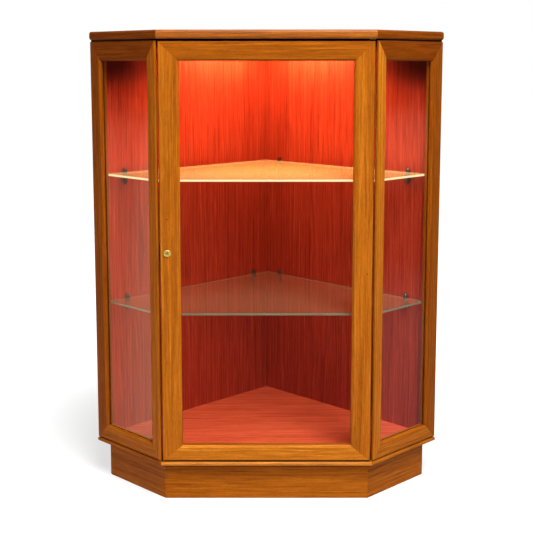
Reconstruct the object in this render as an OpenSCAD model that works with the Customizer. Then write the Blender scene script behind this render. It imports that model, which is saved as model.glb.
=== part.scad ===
// Corner display cabinet: a five-sided case of glazed frames on a recessed plinth,
// with one glazed door, two glass shelves and a ceiling lamp. Millimetres, +Z up.
// X runs along the front, the door faces -Y, and the two back walls meet at +Y.

/* [Case] */
// Overall height, from the floor to the top of the top board
cabinet_h = 1046; // [900:1:1200]
// Width across the front, between the outer corners of the two side frames
front_w = 478; // [440:1:560]
// Length of each side frame along its outer face
side_len = 228.5; // [190:0.5:280]
// Distance from the wall line to the back of a back panel
wall_gap = 14; // [12:1:20]
// Thickness of a back panel
back_t = 8; // [6:1:10]
// Depth of the rebate in a rear stile that takes the edge of a back panel
back_rebate = 7; // [4:0.5:8]
// Leg length of the angle strip behind the rear corner
strip_leg = 30; // [20:1:40]
// Thickness of the angle strip behind the rear corner
strip_t = 6; // [4:1:10]

/* [Top] */
// Thickness of the top board
top_t = 19; // [16:1:24]
// How far the top board stands in front of the side frames
top_front_lip = 7; // [4:0.5:10]
// How far the top board stands out over the side frames
top_side_lip = 2; // [0:0.5:4]
// Rounding of the top board's long edges
top_round = 6; // [2:0.5:8]
// Thickness of the spacer board, which makes the shadow line under the top board
spacer_t = 4; // [3:0.5:8]
// How far the spacer lies behind the faces of the side frames
spacer_inset = 3; // [2:0.5:12]
// How far the spacer lies behind the front
spacer_front_inset = 14; // [12:0.5:30]
// Thickness of the ceiling panel inside the case
ceiling_t = 14; // [10:1:18]

/* [Base] */
// Height of the plinth
plinth_h = 84; // [60:1:120]
// Thickness of the plinth boards
plinth_t = 16; // [12:1:20]
// How far the plinth lies behind the front
plinth_front_inset = 15.5; // [8:0.5:40]
// How far the plinth lies inside the faces of the side frames
plinth_side_inset = 18.5; // [8:0.5:40]
// How far the plinth lies inside the wall lines
plinth_back_inset = 12; // [4:1:40]
// Rounding of the plinth's two rear side corners
plinth_round = 14; // [4:1:15]
// Thickness of the base board, whose edge shows as a thin lip
base_t = 8; // [8:0.5:12]
// How far the base board stands in front of the side frames
base_front_lip = 6.5; // [4:0.5:10]
// Rounding of the base board's long edges
base_round = 3; // [1:0.5:3.5]
// Thickness of the floor panel inside the case
floor_t = 12; // [10:1:18]
// Leg length of the triangular blocks inside the plinth
block_leg = 42; // [34:1:60]
// Height of the triangular blocks inside the plinth
block_h = 60; // [40:1:60]

/* [Side frames] */
// Thickness of a side frame
side_t = 18; // [16:0.5:22]
// Width of a front stile, with its bevel
front_stile_w = 29.5; // [28:0.5:40]
// Width of a rear stile, with its bevel
rear_stile_w = 36; // [32:0.5:45]
// Width of a top rail, with its bevel
side_top_w = 42.5; // [30:0.5:55]
// Width of a bottom rail, with its bevel
side_bottom_w = 37; // [26:0.5:50]
// Width of the narrow flat on a front stile that faces forward
facet_w = 3.8; // [2:0.1:6]
// Height of the shadow notch along the foot of a side frame
notch_h = 2.5; // [1:0.5:4]
// Depth of the shadow notch along the foot of a side frame
notch_d = 4; // [1:0.5:4]

/* [Glazing] */
// Size of the bevel round each glazed opening
bevel = 4.5; // [2:0.5:5]
// Thickness of the panes
pane_t = 4; // [3:0.5:5]
// Distance from a frame's face to its pane
pane_inset = 8; // [6:0.5:8]
// Depth of the groove or rebate that takes a pane's edge
pane_groove = 8; // [6:0.5:9]
// Clearance round a pane, and on each of its faces
pane_clear = 0.1; // [0.05:0.05:0.2]

/* [Door] */
// Thickness of the door
door_t = 20; // [18:0.5:24]
// How far the door's face stands in front of the side frames
door_proud = 2; // [0:0.5:3]
// Gap between each side edge of the door and the side frames
door_side_gap = 3.2; // [2.5:0.1:4]
// Gap between the door and the top board
door_head_gap = 5.5; // [5:0.5:8]
// Gap between the door and the base board
door_foot_gap = 1.5; // [1:0.1:3]
// Gap between the door's back and the boards that it closes against
door_stop_gap = 2.5; // [2:0.1:4]
// Width of a door stile, with its bevel
door_stile_w = 44; // [36:0.5:60]
// Width of the door's top rail, with its bevel
door_top_w = 41.5; // [34:0.5:60]
// Width of the door's bottom rail, with its bevel
door_bottom_w = 36; // [30:0.5:60]

/* [Door pivots] */
// Diameter of the pivot pins
pivot_d = 6; // [5:0.5:7]
// Distance of the pivot axis from the door's side edge and from its face
pivot_inset = 6; // [5.5:0.1:7]
// Radial clearance of a pin in its bush
pivot_clear = 0.05; // [0.02:0.01:0.1]
// Wall of a pivot bush
bush_wall = 1.5; // [1:0.1:2]
// Depth of the bottom bush in the base board
foot_bush_h = 7; // [5:0.5:7]
// Depth of the top bush in the top board
head_bush_h = 9; // [6:0.5:12]
// Length of a pivot pin inside the door
pin_in_door = 20; // [12:1:28]
// Clearance between the door and the thrust washer under it
washer_clear = 0.3; // [0.2:0.1:0.5]

/* [Lock] */
// Distance of the lock from the door's left edge
lock_inset = 16; // [14:0.5:20]
// Height of the lock above the floor
lock_z = 565; // [450:1:650]
// Diameter of the lock's face
lock_face_d = 15.5; // [13:0.5:20]
// How far the lock's face stands out of the door
lock_face_t = 2.4; // [1.5:0.1:4]
// Diameter of the lock's barrel
lock_barrel_d = 12; // [11:0.5:14]
// Diameter of the turning plug
plug_d = 7.6; // [6:0.2:8.4]
// Radial clearance of the plug in the barrel
plug_clear = 0.05; // [0.02:0.01:0.1]
// Length of the cam from the plug's axis to its tip
cam_len = 15.5; // [14:0.5:15.5]
// Width of the cam
cam_w = 9; // [8:0.5:10]
// Thickness of the cam
cam_t = 2; // [1.5:0.1:3]

/* [Shelves] */
// Thickness of the glass shelves
shelf_t = 5; // [4:0.5:8]
// Height of the upper shelf's surface
upper_shelf_z = 723.5; // [640:0.5:800]
// Height of the lower shelf's surface
lower_shelf_z = 424.5; // [350:0.5:500]
// Distance of a shelf's front edge behind the front
shelf_front_inset = 30; // [28:1:80]
// Gap between a shelf and the side frames
shelf_side_gap = 3; // [2:0.5:8]
// Gap between a shelf and the back panels
shelf_back_gap = 4; // [4:0.5:6]
// Distance of an outer shelf support from the side tip, along the wall
support_outer = 72.5; // [50:0.5:120]
// Distance of an inner shelf support from the inner corner, along the wall
support_inner = 53; // [30:0.5:120]
// Diameter of a shelf support
support_d = 10; // [8:0.5:12]
// Length of a shelf support below the glass
support_drop = 23; // [12:1:30]
// Height of a shelf support above the glass
support_rise = 10; // [7:1:16]

/* [Lamp] */
// Distance of the lamp's centre behind the front
lamp_y = 330; // [250:1:360]
// Diameter of the lamp housing
lamp_d = 70; // [60:1:90]
// Height of the lamp housing
lamp_h = 18; // [16:1:24]
// Wall of the lamp housing
lamp_wall = 2; // [1.5:0.5:3]
// Diameter of the hole for the lead in the back panel
grommet_d = 16; // [14:1:20]
// Distance of that hole from the inner corner, along the wall
grommet_corner = 70; // [50:1:120]
// Distance of that hole below the ceiling panel
grommet_drop = 17; // [16:1:60]

/* [Screws and pins] */
// Shank diameter of the wood screws
screw_d = 4; // [3:0.5:5]
// Radial clearance of a fastener in its hole
screw_clear = 0.05; // [0.02:0.01:0.2]
// Depth of a screw's hold in the last board
screw_hold = 10; // [6:1:10]
// Shank diameter of the panel pins
pin_d = 2; // [1.5:0.1:2.5]
// Hold of a panel pin in the wood behind the panel
pin_hold = 9; // [6:1:12]

/* [Hidden] */

$fn = 48;
eps = 0.5;
root2 = sqrt(2);
teak = [0.72, 0.43, 0.15];
veneer = [0.55, 0.14, 0.07];
dark_wood = [0.12, 0.07, 0.04];
plain_wood = [0.78, 0.66, 0.48];
clear_glass = [0.75, 0.86, 0.82, 0.4];
brass = [0.80, 0.62, 0.28];
steel = [0.55, 0.55, 0.55];
bronze = [0.22, 0.19, 0.16];
white = [0.92, 0.90, 0.84];

// The plan, with the front of the side frames on Y = 0
half_front = front_w / 2;
side_run = side_len / root2;
half_case = half_front + side_run;
wall_y = half_case + side_run;
wall_len = half_case * root2;
front_y = -(wall_y - top_front_lip) / 2;

// Heights
case_z = plinth_h + base_t;
top_z = cabinet_h - top_t;
spacer_z = top_z - spacer_t;
ceiling_z = spacer_z - ceiling_t;
frame_h = spacer_z - case_z;
door_z = case_z + door_foot_gap;
door_h = top_z - door_head_gap - door_z;

// The door and what it closes against
jamb_x = half_front - facet_w;
door_half = jamb_x - door_side_gap;
door_w = 2 * door_half;
door_back_y = door_t - door_proud;
stop_y = door_back_y + door_stop_gap;
bead_gap = 2 * pane_clear;
bead_t = door_t - pane_inset - pane_t - bead_gap;
inner_back = wall_gap + back_t;
pane_slot = pane_t + 2 * pane_clear;

// The pivots and the lock
pivot_x = door_half - pivot_inset;
pivot_y = pivot_inset - door_proud;
washer_d = 2 * pivot_d - 1;
washer_t = door_foot_gap - washer_clear;
bush_d = pivot_d + 2 * (pivot_clear + bush_wall);
bush_flange_t = 1.5;
pin_end_gap = 1;
lock_x = -(door_half - lock_inset);
nut_t = 2.5;
nut_across = 16;
nut_room = 0.6;
cam_gap = 0.8;
cam_y = door_back_y + nut_t + cam_gap;
cam_screw_d = 3;
cam_screw_head_d = 6;
keeper_t = 1.5;
keeper_h = 30;
keeper_leg = 14;
keeper_y = door_back_y + 1.2;
keeper_reach = 8;
keeper_pitch = 18;
keeper_screw_d = 2.4;
keeper_screw_len = 4;

// Fasteners
screw_head_d = 2 * screw_d;
screw_head_h = screw_d / 2;
pin_head_d = 2 * pin_d;
pin_head_h = 0.8;
top_screw_spots = [[-150, 60], [150, 60], [-150, 250], [150, 250]];
block_screw_in = 17;
pin_margin = 60;

// Shelf supports: spine behind the glass, stub below it and knob above it
support_off = 1;
spine_t = shelf_back_gap - 0.5;
spine_w = 6;
spigot_d = 5;
spigot_len = 6;
pad_gap = 0.3;
support_inner_at = wall_len - inner_back - support_inner;
right_support_spots = [[support_outer, upper_shelf_z], [support_inner_at, upper_shelf_z],
                       [support_outer, lower_shelf_z], [support_inner_at, lower_shelf_z]];
left_support_spots = [[support_outer, upper_shelf_z],
                      [support_outer, lower_shelf_z], [support_inner_at, lower_shelf_z]];

// Lamp
lens_t = 3;
lens_lip = 1.5;
lamp_z = ceiling_z - lamp_h;
lamp_screw_r = lamp_d * 0.3;
holder_d = 22;
holder_h = 5;
bulb_d = 9;

// ---- plan helpers ----

// The five-sided plan, moved outwards by the given amounts: [right front, right tip,
// rear corner, left tip, left front]
function plan(front, side, rear) =
  let (s = half_front + side * root2,
       b = wall_y + rear * root2,
       tip = [(b + s) / 2, (b - s) / 2])
  [[s - front, -front], tip, [0, b], [-tip[0], tip[1]], [-(s - front), -front]];

// One board of a five-sided frame, mitred at both ends
function mitred_side(outer, inner, i) =
  let (j = (i + 1) % 5) [outer[i], outer[j], inner[j], inner[i]];

module case_space() { translate([0, front_y, 0]) children(); }

// X back along the outer face of the right side frame, Y inwards through it
module side_space() { case_space() translate([half_front, 0, 0]) rotate(45) children(); }

// X from the right side tip to the rear corner along the wall line, Y into the case
module wall_space() {
  case_space() translate([half_case, side_run, 0]) rotate(135) children();
}

module door_space() {
  case_space() translate([0, -door_proud, door_z]) children();
}

module left_copy() { mirror([1, 0, 0]) children(); }

// Rounds a right-angled corner of an outline: the corner is on the origin and the
// outline lies along +X and +Y
module corner_cut(r) {
  difference() {
    translate([-eps, -eps]) square(r + eps);
    translate([r, r]) circle(r);
  }
}

// The right side tip's corner, turned for corner_cut
module at_tip(side, rear) {
  tip = plan(0, side, rear)[1];
  translate(tip) rotate(135) children();
}

// A long bar whose +X edge is rounded above and below; it lies along Y
module nosed_bar(t, r, reach) {
  rotate([90, 0, 0]) translate([0, 0, -reach]) linear_extrude(2 * reach) {
    translate([-reach, 0]) square([reach - r, t]);
    translate([-r - eps, r]) square([r + eps, t - 2 * r]);
    translate([-r, r]) circle(r);
    translate([-r, t - r]) circle(r);
  }
}

// A five-sided board with rounded front and side edges
module nosed_board(t, r, front, side, rear) {
  reach = 2 * wall_y;
  s = half_front + side * root2;
  intersection() {
    linear_extrude(t) polygon(plan(front + eps, side + eps, rear));
    translate([0, -front, 0]) rotate(-90) nosed_bar(t, r, reach);
    translate([s, 0, 0]) rotate(-45) nosed_bar(t, r, reach);
    translate([-s, 0, 0]) rotate(225) nosed_bar(t, r, reach);
  }
}

// ---- fasteners ----

// A countersunk screw with its head's face on the origin, pointing along +Z
module wood_screw(len, grow = 0) {
  cylinder(h = len, d = screw_d + 2 * grow);
  cylinder(h = screw_head_h + grow, d1 = screw_head_d + 2 * grow, d2 = screw_d + 2 * grow);
}

// A panel pin with its head's underside on the origin, pointing along +Y
module panel_pin(len, grow = 0) {
  rotate([-90, 0, 0]) cylinder(h = len + grow, d = pin_d + 2 * grow, $fn = 24);
  rotate([90, 0, 0]) cylinder(h = pin_head_h, d = pin_head_d, $fn = 24);
}

module at_top_screws() {
  case_space() for (p = top_screw_spots) translate([p[0], p[1], ceiling_z]) children();
}

module top_screw(grow = 0) { wood_screw(ceiling_t + spacer_t + screw_hold, grow); }

// The blocks' inner corners, each turned so that the block fills +X and +Y
module at_block_corners() {
  inner = plan(-plinth_front_inset - plinth_t, -plinth_side_inset - plinth_t,
               -plinth_back_inset - plinth_t);
  case_space() {
    translate(inner[1]) rotate(135) children();
    translate(inner[2]) rotate(225) children();
    translate(inner[3]) rotate(-45) children();
  }
}

module block_screw(grow = 0) {
  translate([block_screw_in, block_screw_in, plinth_h - block_h])
    wood_screw(block_h + base_t + screw_hold - 2, grow);
}

// Pins through one back panel, as places on the panel's outer face
module at_panel_pins() {
  panel_len = wall_len - inner_back - side_t;
  for (x = [side_t + pin_margin : (panel_len - 2 * pin_margin) / 2 : wall_len],
       z = [case_z + floor_t / 2, ceiling_z + ceiling_t / 2])
    if (x < wall_len - inner_back - pin_margin / 2)
      translate([x, wall_gap, z]) children();
  for (k = [0 : 3])
    translate([side_t - (side_t - back_rebate_start()) / 2, wall_gap,
               case_z + pin_margin + k * (frame_h - 2 * pin_margin) / 3]) children();
}

// Where a back panel's edge lies in the rear stile, measured from the outer face
function back_rebate_start() = side_t - back_rebate;

// ---- top ----

module top_panel() color(teak) difference() {
  translate([0, 0, top_z]) case_space()
    nosed_board(top_t, top_round, top_front_lip, top_side_lip, 0);
  at_top_screws() top_screw(screw_clear);
  case_space() translate([pivot_x, pivot_y, top_z - eps])
    cylinder(h = head_bush_h + eps, d = bush_d);
}

module top_spacer() color(dark_wood) difference() {
  case_space() translate([0, 0, spacer_z])
    linear_extrude(spacer_t) polygon(plan(-spacer_front_inset, -spacer_inset, 0));
  at_top_screws() top_screw(screw_clear);
}

module ceiling_panel() color(veneer) difference() {
  case_space() translate([0, 0, ceiling_z])
    linear_extrude(ceiling_t) polygon(plan(-stop_y, -side_t, -inner_back));
  at_top_screws() top_screw(screw_clear);
  lamp_space() at_lamp_screws() lamp_screw(screw_clear);
  panel_pin_holes();
}

module top_screws() color(steel) at_top_screws() top_screw();

// ---- base ----

module base_board() color(teak) difference() {
  case_space() translate([0, 0, plinth_h])
    nosed_board(base_t, base_round, base_front_lip, top_side_lip, 0);
  at_block_corners() block_screw(screw_clear);
  case_space() translate([pivot_x, pivot_y, case_z - foot_bush_h])
    cylinder(h = foot_bush_h + eps, d = bush_d);
}

module floor_panel() color(veneer) difference() {
  case_space() translate([0, 0, case_z])
    linear_extrude(floor_t) polygon(plan(-stop_y, -side_t, -inner_back));
  at_block_corners() block_screw(screw_clear);
  panel_pin_holes();
}

module plinth_board(i) {
  outer = plan(-plinth_front_inset, -plinth_side_inset, -plinth_back_inset);
  inner = plan(-plinth_front_inset - plinth_t, -plinth_side_inset - plinth_t,
               -plinth_back_inset - plinth_t);
  color(teak) case_space() linear_extrude(plinth_h) difference() {
    polygon(mitred_side(outer, inner, i));
    at_tip(-plinth_side_inset, -plinth_back_inset) corner_cut(plinth_round);
    mirror([1, 0]) at_tip(-plinth_side_inset, -plinth_back_inset) corner_cut(plinth_round);
  }
}

module plinth_right() { plinth_board(0); }
module plinth_back_right() { plinth_board(1); }
module plinth_back_left() { plinth_board(2); }
module plinth_left() { plinth_board(3); }
module plinth_front() { plinth_board(4); }

module plinth_blocks() color(plain_wood) difference() {
  at_block_corners() translate([0, 0, plinth_h - block_h])
    linear_extrude(block_h) polygon([[0, 0], [block_leg, 0], [0, block_leg]]);
  at_block_corners() block_screw(screw_clear);
}

module block_screws() color(steel) at_block_corners() block_screw();

// ---- back ----

// The right panel runs through behind the left one at the rear corner
module back_panel(run_through) {
  panel_end = run_through ? wall_len - wall_gap : wall_len - inner_back;
  wall_space() translate([back_rebate_start(), wall_gap, case_z])
    cube([panel_end - back_rebate_start(), back_t, frame_h]);
}

module panel_pin_holes() {
  wall_space() at_panel_pins() panel_pin(back_t + pin_hold, screw_clear);
  left_copy() wall_space() at_panel_pins() panel_pin(back_t + pin_hold, screw_clear);
}

module at_grommet() {
  wall_space() translate([wall_len - inner_back - grommet_corner, wall_gap,
                          ceiling_z - grommet_drop]) children();
}

module back_panel_right() color(veneer) difference() {
  back_panel(true);
  wall_space() at_panel_pins() panel_pin(back_t + pin_hold, screw_clear);
  spigot_holes(right_support_spots);
  at_grommet() rotate([-90, 0, 0]) translate([0, 0, -eps])
    cylinder(h = back_t + 2 * eps, d = grommet_d);
}

module back_panel_left() color(veneer) difference() {
  left_copy() back_panel(false);
  left_copy() wall_space() at_panel_pins() panel_pin(back_t + pin_hold, screw_clear);
  left_copy() spigot_holes(left_support_spots);
}

module rear_corner_strip() color(plain_wood)
  case_space() translate([0, wall_y - (wall_gap - strip_t) * root2, case_z])
    rotate(225) linear_extrude(frame_h)
      difference() {
        square(strip_leg);
        translate([strip_t, strip_t]) square(strip_leg);
      }

module panel_pins() color(steel) {
  wall_space() at_panel_pins() panel_pin(back_t + pin_hold);
  left_copy() wall_space() at_panel_pins() panel_pin(back_t + pin_hold);
}

// ---- glazed frames ----

// One member of a mitred frame of size w by h, seen from its face: which is 0 for the
// left stile, 1 right stile, 2 top rail, 3 bottom rail. Widths are [left, right, top,
// bottom]. The pane's slot runs from slot_y to slot_y + slot_t behind the face.
module frame_member(which, w, h, t, widths, slot_y, slot_t) {
  l = widths[0];
  r = w - widths[1];
  u = h - widths[2];
  d = widths[3];
  shapes = [
    [[0, 0], [l, d], [l, u], [0, h]],
    [[w, 0], [w, h], [r, u], [r, d]],
    [[0, h], [l, u], [r, u], [w, h]],
    [[0, 0], [w, 0], [r, d], [l, d]]];
  turn = [0, 180, 90, -90][which];
  spot = [[l, 0], [r, 0], [0, u], [0, d]][which];
  reach = 2 * (w + h);
  difference() {
    translate([0, t, 0]) rotate([90, 0, 0]) linear_extrude(t) polygon(shapes[which]);
    // the bevel and the slot, drawn for the left stile with the opening on +X
    translate([spot[0], 0, spot[1]]) rotate([0, turn, 0]) {
      translate([0, 0, -reach]) linear_extrude(2 * reach)
        polygon([[-bevel - eps, -eps], [eps, -eps], [eps, bevel + eps]]);
      translate([-pane_groove, slot_y, -reach]) cube([pane_groove + eps, slot_t, 2 * reach]);
    }
  }
}

side_widths = [front_stile_w, rear_stile_w, side_top_w, side_bottom_w];

module side_member(which) {
  color(teak) difference() {
    side_space() translate([0, 0, case_z]) difference() {
      frame_member(which, side_len, frame_h, side_t, side_widths,
                   pane_inset - pane_clear, pane_slot);
      // the shadow notch along the foot
      translate([-eps, -eps, -eps])
        cube([side_len + 2 * eps, notch_d + eps, notch_h + eps]);
    }
    if (which != 1) front_cuts();
    if (which != 0) back_rebate_cut();
    if (which == 0) keeper_screw_holes();
    if (which == 1) wall_space() at_panel_pins() panel_pin(back_t + pin_hold, screw_clear);
  }
}

// The flat that faces forward and the face beside the door
module front_cuts() {
  case_space() {
    translate([0, -side_len, case_z - eps]) cube([jamb_x, 2 * side_len, frame_h + 2 * eps]);
    translate([0, -side_len, case_z - eps]) cube([half_case, side_len, frame_h + 2 * eps]);
  }
}

module back_rebate_cut() {
  wall_space() translate([back_rebate_start(), -eps, case_z - eps])
    cube([back_rebate + eps, inner_back + eps, frame_h + 2 * eps]);
}

module side_pane() {
  grip = pane_groove - 1;
  side_space() translate([front_stile_w - grip, pane_inset, case_z + side_bottom_w - grip])
    color(clear_glass)
      cube([side_len - front_stile_w - rear_stile_w + 2 * grip, pane_t,
            frame_h - side_top_w - side_bottom_w + 2 * grip]);
}

module right_front_stile() { side_member(0); }
module right_rear_stile() { side_member(1); }
module right_top_rail() { side_member(2); }
module right_bottom_rail() { side_member(3); }
module right_pane() { side_pane(); }
module left_front_stile() { left_copy() side_member(0); }
module left_rear_stile() { left_copy() side_member(1); }
module left_top_rail() { left_copy() side_member(2); }
module left_bottom_rail() { left_copy() side_member(3); }
module left_pane() { left_copy() side_pane(); }

// ---- door ----

door_widths = [door_stile_w, door_stile_w, door_top_w, door_bottom_w];

module door_member(which) {
  color(teak) difference() {
    door_space() translate([-door_half, 0, 0])
      frame_member(which, door_w, door_h, door_t, door_widths,
                   pane_inset - pane_clear, door_t);
    if (which != 0) pivot_pin_holes();
    if (which == 0) lock_hole();
  }
}

module door_left_stile() { door_member(0); }
module door_right_stile() { door_member(1); }
module door_top_rail() { door_member(2); }
module door_bottom_rail() { door_member(3); }

module door_pane() {
  grip = pane_groove - 1;
  color(clear_glass) door_space()
    translate([-door_half + door_stile_w - grip, pane_inset, door_bottom_w - grip])
      cube([door_w - 2 * door_stile_w + 2 * grip, pane_t,
            door_h - door_top_w - door_bottom_w + 2 * grip]);
}

// The beads lie in the rebate behind the pane, mitred like the frame
module door_bead(which) {
  w = door_w - 2 * (door_stile_w - pane_groove);
  h = door_h - door_top_w - door_bottom_w + 2 * pane_groove;
  b = pane_groove;
  shapes = [
    [[0, 0], [b, b], [b, h - b], [0, h]],
    [[w, 0], [w, h], [w - b, h - b], [w - b, b]],
    [[0, h], [b, h - b], [w - b, h - b], [w, h]],
    [[0, 0], [w, 0], [w - b, b], [b, b]]];
  color(teak) door_space()
    translate([-w / 2, door_t, door_bottom_w - pane_groove]) rotate([90, 0, 0])
      linear_extrude(bead_t) polygon(shapes[which]);
}

module door_bead_left() { door_bead(0); }
module door_bead_right() { door_bead(1); }
module door_bead_top() { door_bead(2); }
module door_bead_bottom() { door_bead(3); }

// ---- pivots ----

module pivot_pin_bottom() color(steel) case_space()
  translate([pivot_x, pivot_y, case_z - foot_bush_h + pin_end_gap])
    cylinder(h = foot_bush_h - pin_end_gap + door_foot_gap + pin_in_door, d = pivot_d);

module pivot_pin_top() color(steel) case_space()
  translate([pivot_x, pivot_y, door_z + door_h - pin_in_door])
    cylinder(h = pin_in_door + door_head_gap + head_bush_h - pin_end_gap, d = pivot_d);

module pivot_pin_holes() {
  case_space() for (z = [door_z - eps, door_z + door_h - pin_in_door - screw_clear])
    translate([pivot_x, pivot_y, z])
      cylinder(h = pin_in_door + screw_clear + eps, d = pivot_d + 2 * screw_clear);
}

module pivot_bush_bottom() color(brass) case_space() difference() {
  translate([pivot_x, pivot_y, case_z - foot_bush_h]) cylinder(h = foot_bush_h, d = bush_d);
  translate([pivot_x, pivot_y, case_z - foot_bush_h - eps])
    cylinder(h = foot_bush_h + 2 * eps, d = pivot_d + 2 * pivot_clear);
}

module pivot_bush_top() color(brass) case_space() difference() {
  union() {
    translate([pivot_x, pivot_y, top_z]) cylinder(h = head_bush_h, d = bush_d);
    translate([pivot_x, pivot_y, top_z - bush_flange_t])
      cylinder(h = bush_flange_t, d = bush_d + 4);
  }
  translate([pivot_x, pivot_y, top_z - bush_flange_t - eps])
    cylinder(h = bush_flange_t + head_bush_h + 2 * eps, d = pivot_d + 2 * pivot_clear);
}

module pivot_washer() color(white) case_space() difference() {
  translate([pivot_x, pivot_y, case_z]) cylinder(h = washer_t, d = washer_d);
  translate([pivot_x, pivot_y, case_z - eps])
    cylinder(h = washer_t + 2 * eps, d = pivot_d + 4 * pivot_clear);
}

// ---- lock ----

// Origin on the lock's axis at the door's face, Z back through the door
module lock_space() {
  case_space() translate([lock_x, -door_proud, lock_z]) rotate([-90, 0, 0]) children();
}

module lock_hole() {
  lock_space() translate([0, 0, -eps])
    cylinder(h = door_t + 2 * eps, d = lock_barrel_d + 2 * screw_clear);
}

module lock_barrel() color(brass) lock_space() difference() {
  union() {
    cylinder(h = door_t + nut_t + nut_room / 2, d = lock_barrel_d);
    translate([0, 0, -lock_face_t]) rotate_extrude() {
      square([lock_face_d / 2 - lock_face_t / 2, lock_face_t]);
      translate([0, lock_face_t / 2]) square([lock_face_d / 2, lock_face_t / 2]);
      translate([lock_face_d / 2 - lock_face_t / 2, lock_face_t / 2])
        circle(lock_face_t / 2);
    }
  }
  translate([0, 0, -lock_face_t - eps])
    cylinder(h = lock_face_t + door_t + nut_t + nut_room + eps, d = plug_d + 2 * plug_clear);
}

module lock_plug() color(brass) lock_space() difference() {
  translate([0, 0, -lock_face_t + 0.8])
    cylinder(h = lock_face_t - 0.8 + door_t + nut_t + cam_gap, d = plug_d);
  // the slot for the key
  translate([-0.6, -plug_d * 0.36, -lock_face_t]) cube([1.2, plug_d * 0.72, 8]);
  translate([0, 0, door_t]) cylinder(h = nut_t + cam_gap + eps,
                                     d = cam_screw_d + 2 * screw_clear);
}

module lock_nut() color(brass) lock_space() translate([0, 0, door_t]) difference() {
  cylinder(h = nut_t, d = nut_across / cos(30), $fn = 6);
  translate([0, 0, -eps])
    cylinder(h = nut_t + 2 * eps, d = lock_barrel_d + 2 * screw_clear);
}

// The cam hangs down at rest and turns towards the side frame to lock
module lock_cam() color(steel) lock_space()
  translate([0, 0, cam_y + door_proud]) difference() {
    union() {
      cylinder(h = cam_t, d = cam_w);
      translate([-cam_w / 2, 0, 0]) cube([cam_w, cam_len - cam_w / 2, cam_t]);
      translate([0, cam_len - cam_w / 2, 0]) cylinder(h = cam_t, d = cam_w);
    }
    translate([0, 0, -eps]) cylinder(h = cam_t + 2 * eps, d = cam_screw_d + 2 * screw_clear);
  }

module lock_cam_screw() color(steel) lock_space() translate([0, 0, cam_y + door_proud]) {
  translate([0, 0, -nut_t - cam_gap + screw_clear])
    cylinder(h = nut_t + cam_gap + cam_t, d = cam_screw_d);
  translate([0, 0, cam_t]) cylinder(h = 1.6, d = cam_screw_head_d);
}

// The keeper is bent round the left front stile's inner corner: one leg lies on the
// stile and the other catches the cam
module at_keeper() { left_copy() case_space() translate([0, 0, lock_z]) children(); }

inner_line = half_front - side_t * root2;
keeper_corner_y = jamb_x - inner_line;

module lock_keeper() color(brass) difference() {
  at_keeper() translate([0, 0, -keeper_h / 2]) linear_extrude(keeper_h) {
    k = keeper_t;
    leg = keeper_leg / root2;
    translate([jamb_x - keeper_reach, keeper_y]) square([keeper_reach, k]);
    translate([jamb_x - k, keeper_y]) square([k, keeper_corner_y - keeper_y + k]);
    polygon([[jamb_x, keeper_corner_y], [jamb_x + leg, keeper_corner_y + leg],
             [jamb_x + leg - k / root2, keeper_corner_y + leg + k / root2],
             [jamb_x - k, keeper_corner_y + k * (root2 - 1)],
             [jamb_x - k, keeper_corner_y]]);
  }
  keeper_screw_holes(true);
}

module at_keeper_screws() {
  out = keeper_leg * 0.6 / root2;
  at_keeper() for (z = [-keeper_pitch / 2, keeper_pitch / 2])
    translate([jamb_x + out - keeper_t / root2, keeper_corner_y + out + keeper_t / root2, z])
      rotate([90, 0, 45]) children();
}

module keeper_screws() color(brass) at_keeper_screws() {
  translate([0, 0, -1.4]) cylinder(h = 1.4, d = 2 * keeper_screw_d);
  cylinder(h = keeper_t + keeper_screw_len, d = keeper_screw_d);
}

module keeper_screw_holes(through = false) {
  holes = keeper_screw_d + 2 * screw_clear;
  if (through) at_keeper_screws() cylinder(h = keeper_t + keeper_screw_len, d = holes);
  else left_copy() at_keeper_screws()
    cylinder(h = keeper_t + keeper_screw_len + screw_clear, d = holes);
}

// ---- shelves ----

module shelf(z) {
  color(clear_glass) case_space() translate([0, 0, z - shelf_t]) linear_extrude(shelf_t)
    polygon(plan(-shelf_front_inset, -side_t - shelf_side_gap, -inner_back - shelf_back_gap));
}

module upper_shelf() { shelf(upper_shelf_z); }
module lower_shelf() { shelf(lower_shelf_z); }

// The supports of one shelf out of a list of places [along the wall line, shelf height]
module at_supports(spots, z) {
  for (p = spots) if (p[1] == z)
    wall_space() translate([p[0], inner_back, z - shelf_t]) children();
}

// The spigot goes into the back panel half-way up the stub
module support_spigot(grow = 0) {
  translate([0, grow, -support_drop / 2]) rotate([90, 0, 0])
    cylinder(h = spigot_len + 2 * grow, d = spigot_d + 2 * grow);
}

module spigot_holes(spots) {
  for (z = [upper_shelf_z, lower_shelf_z]) at_supports(spots, z) support_spigot(screw_clear);
}

module shelf_support() {
  r = support_d / 2;
  union() {
    support_spigot();
    translate([-spine_w / 2, 0, -support_drop + r])
      cube([spine_w, spine_t, support_drop + shelf_t + support_rise - 2 * r]);
    translate([0, r + support_off, -support_drop + r]) sphere(r);
    translate([0, r + support_off, -support_drop + r]) cylinder(h = support_drop - r, r = r);
    translate([0, r + support_off, shelf_t + pad_gap])
      cylinder(h = support_rise - pad_gap - r, r = r);
    intersection() {
      translate([0, r + support_off, shelf_t + support_rise - r]) sphere(r);
      translate([-r, support_off, shelf_t + pad_gap]) cube([2 * r, 2 * r, support_rise]);
    }
  }
}

module shelf_supports(z) color(bronze) {
  at_supports(right_support_spots, z) shelf_support();
  left_copy() at_supports(left_support_spots, z) shelf_support();
}

module upper_shelf_supports() { shelf_supports(upper_shelf_z); }
module lower_shelf_supports() { shelf_supports(lower_shelf_z); }

// ---- lamp ----

// Origin on the lamp's axis at the mouth of its housing
module lamp_space() { case_space() translate([0, lamp_y, lamp_z]) children(); }

module at_lamp_screws() {
  for (a = [45, 225]) rotate(a) translate([lamp_screw_r, 0, lamp_h - lamp_wall]) children();
}

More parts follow.
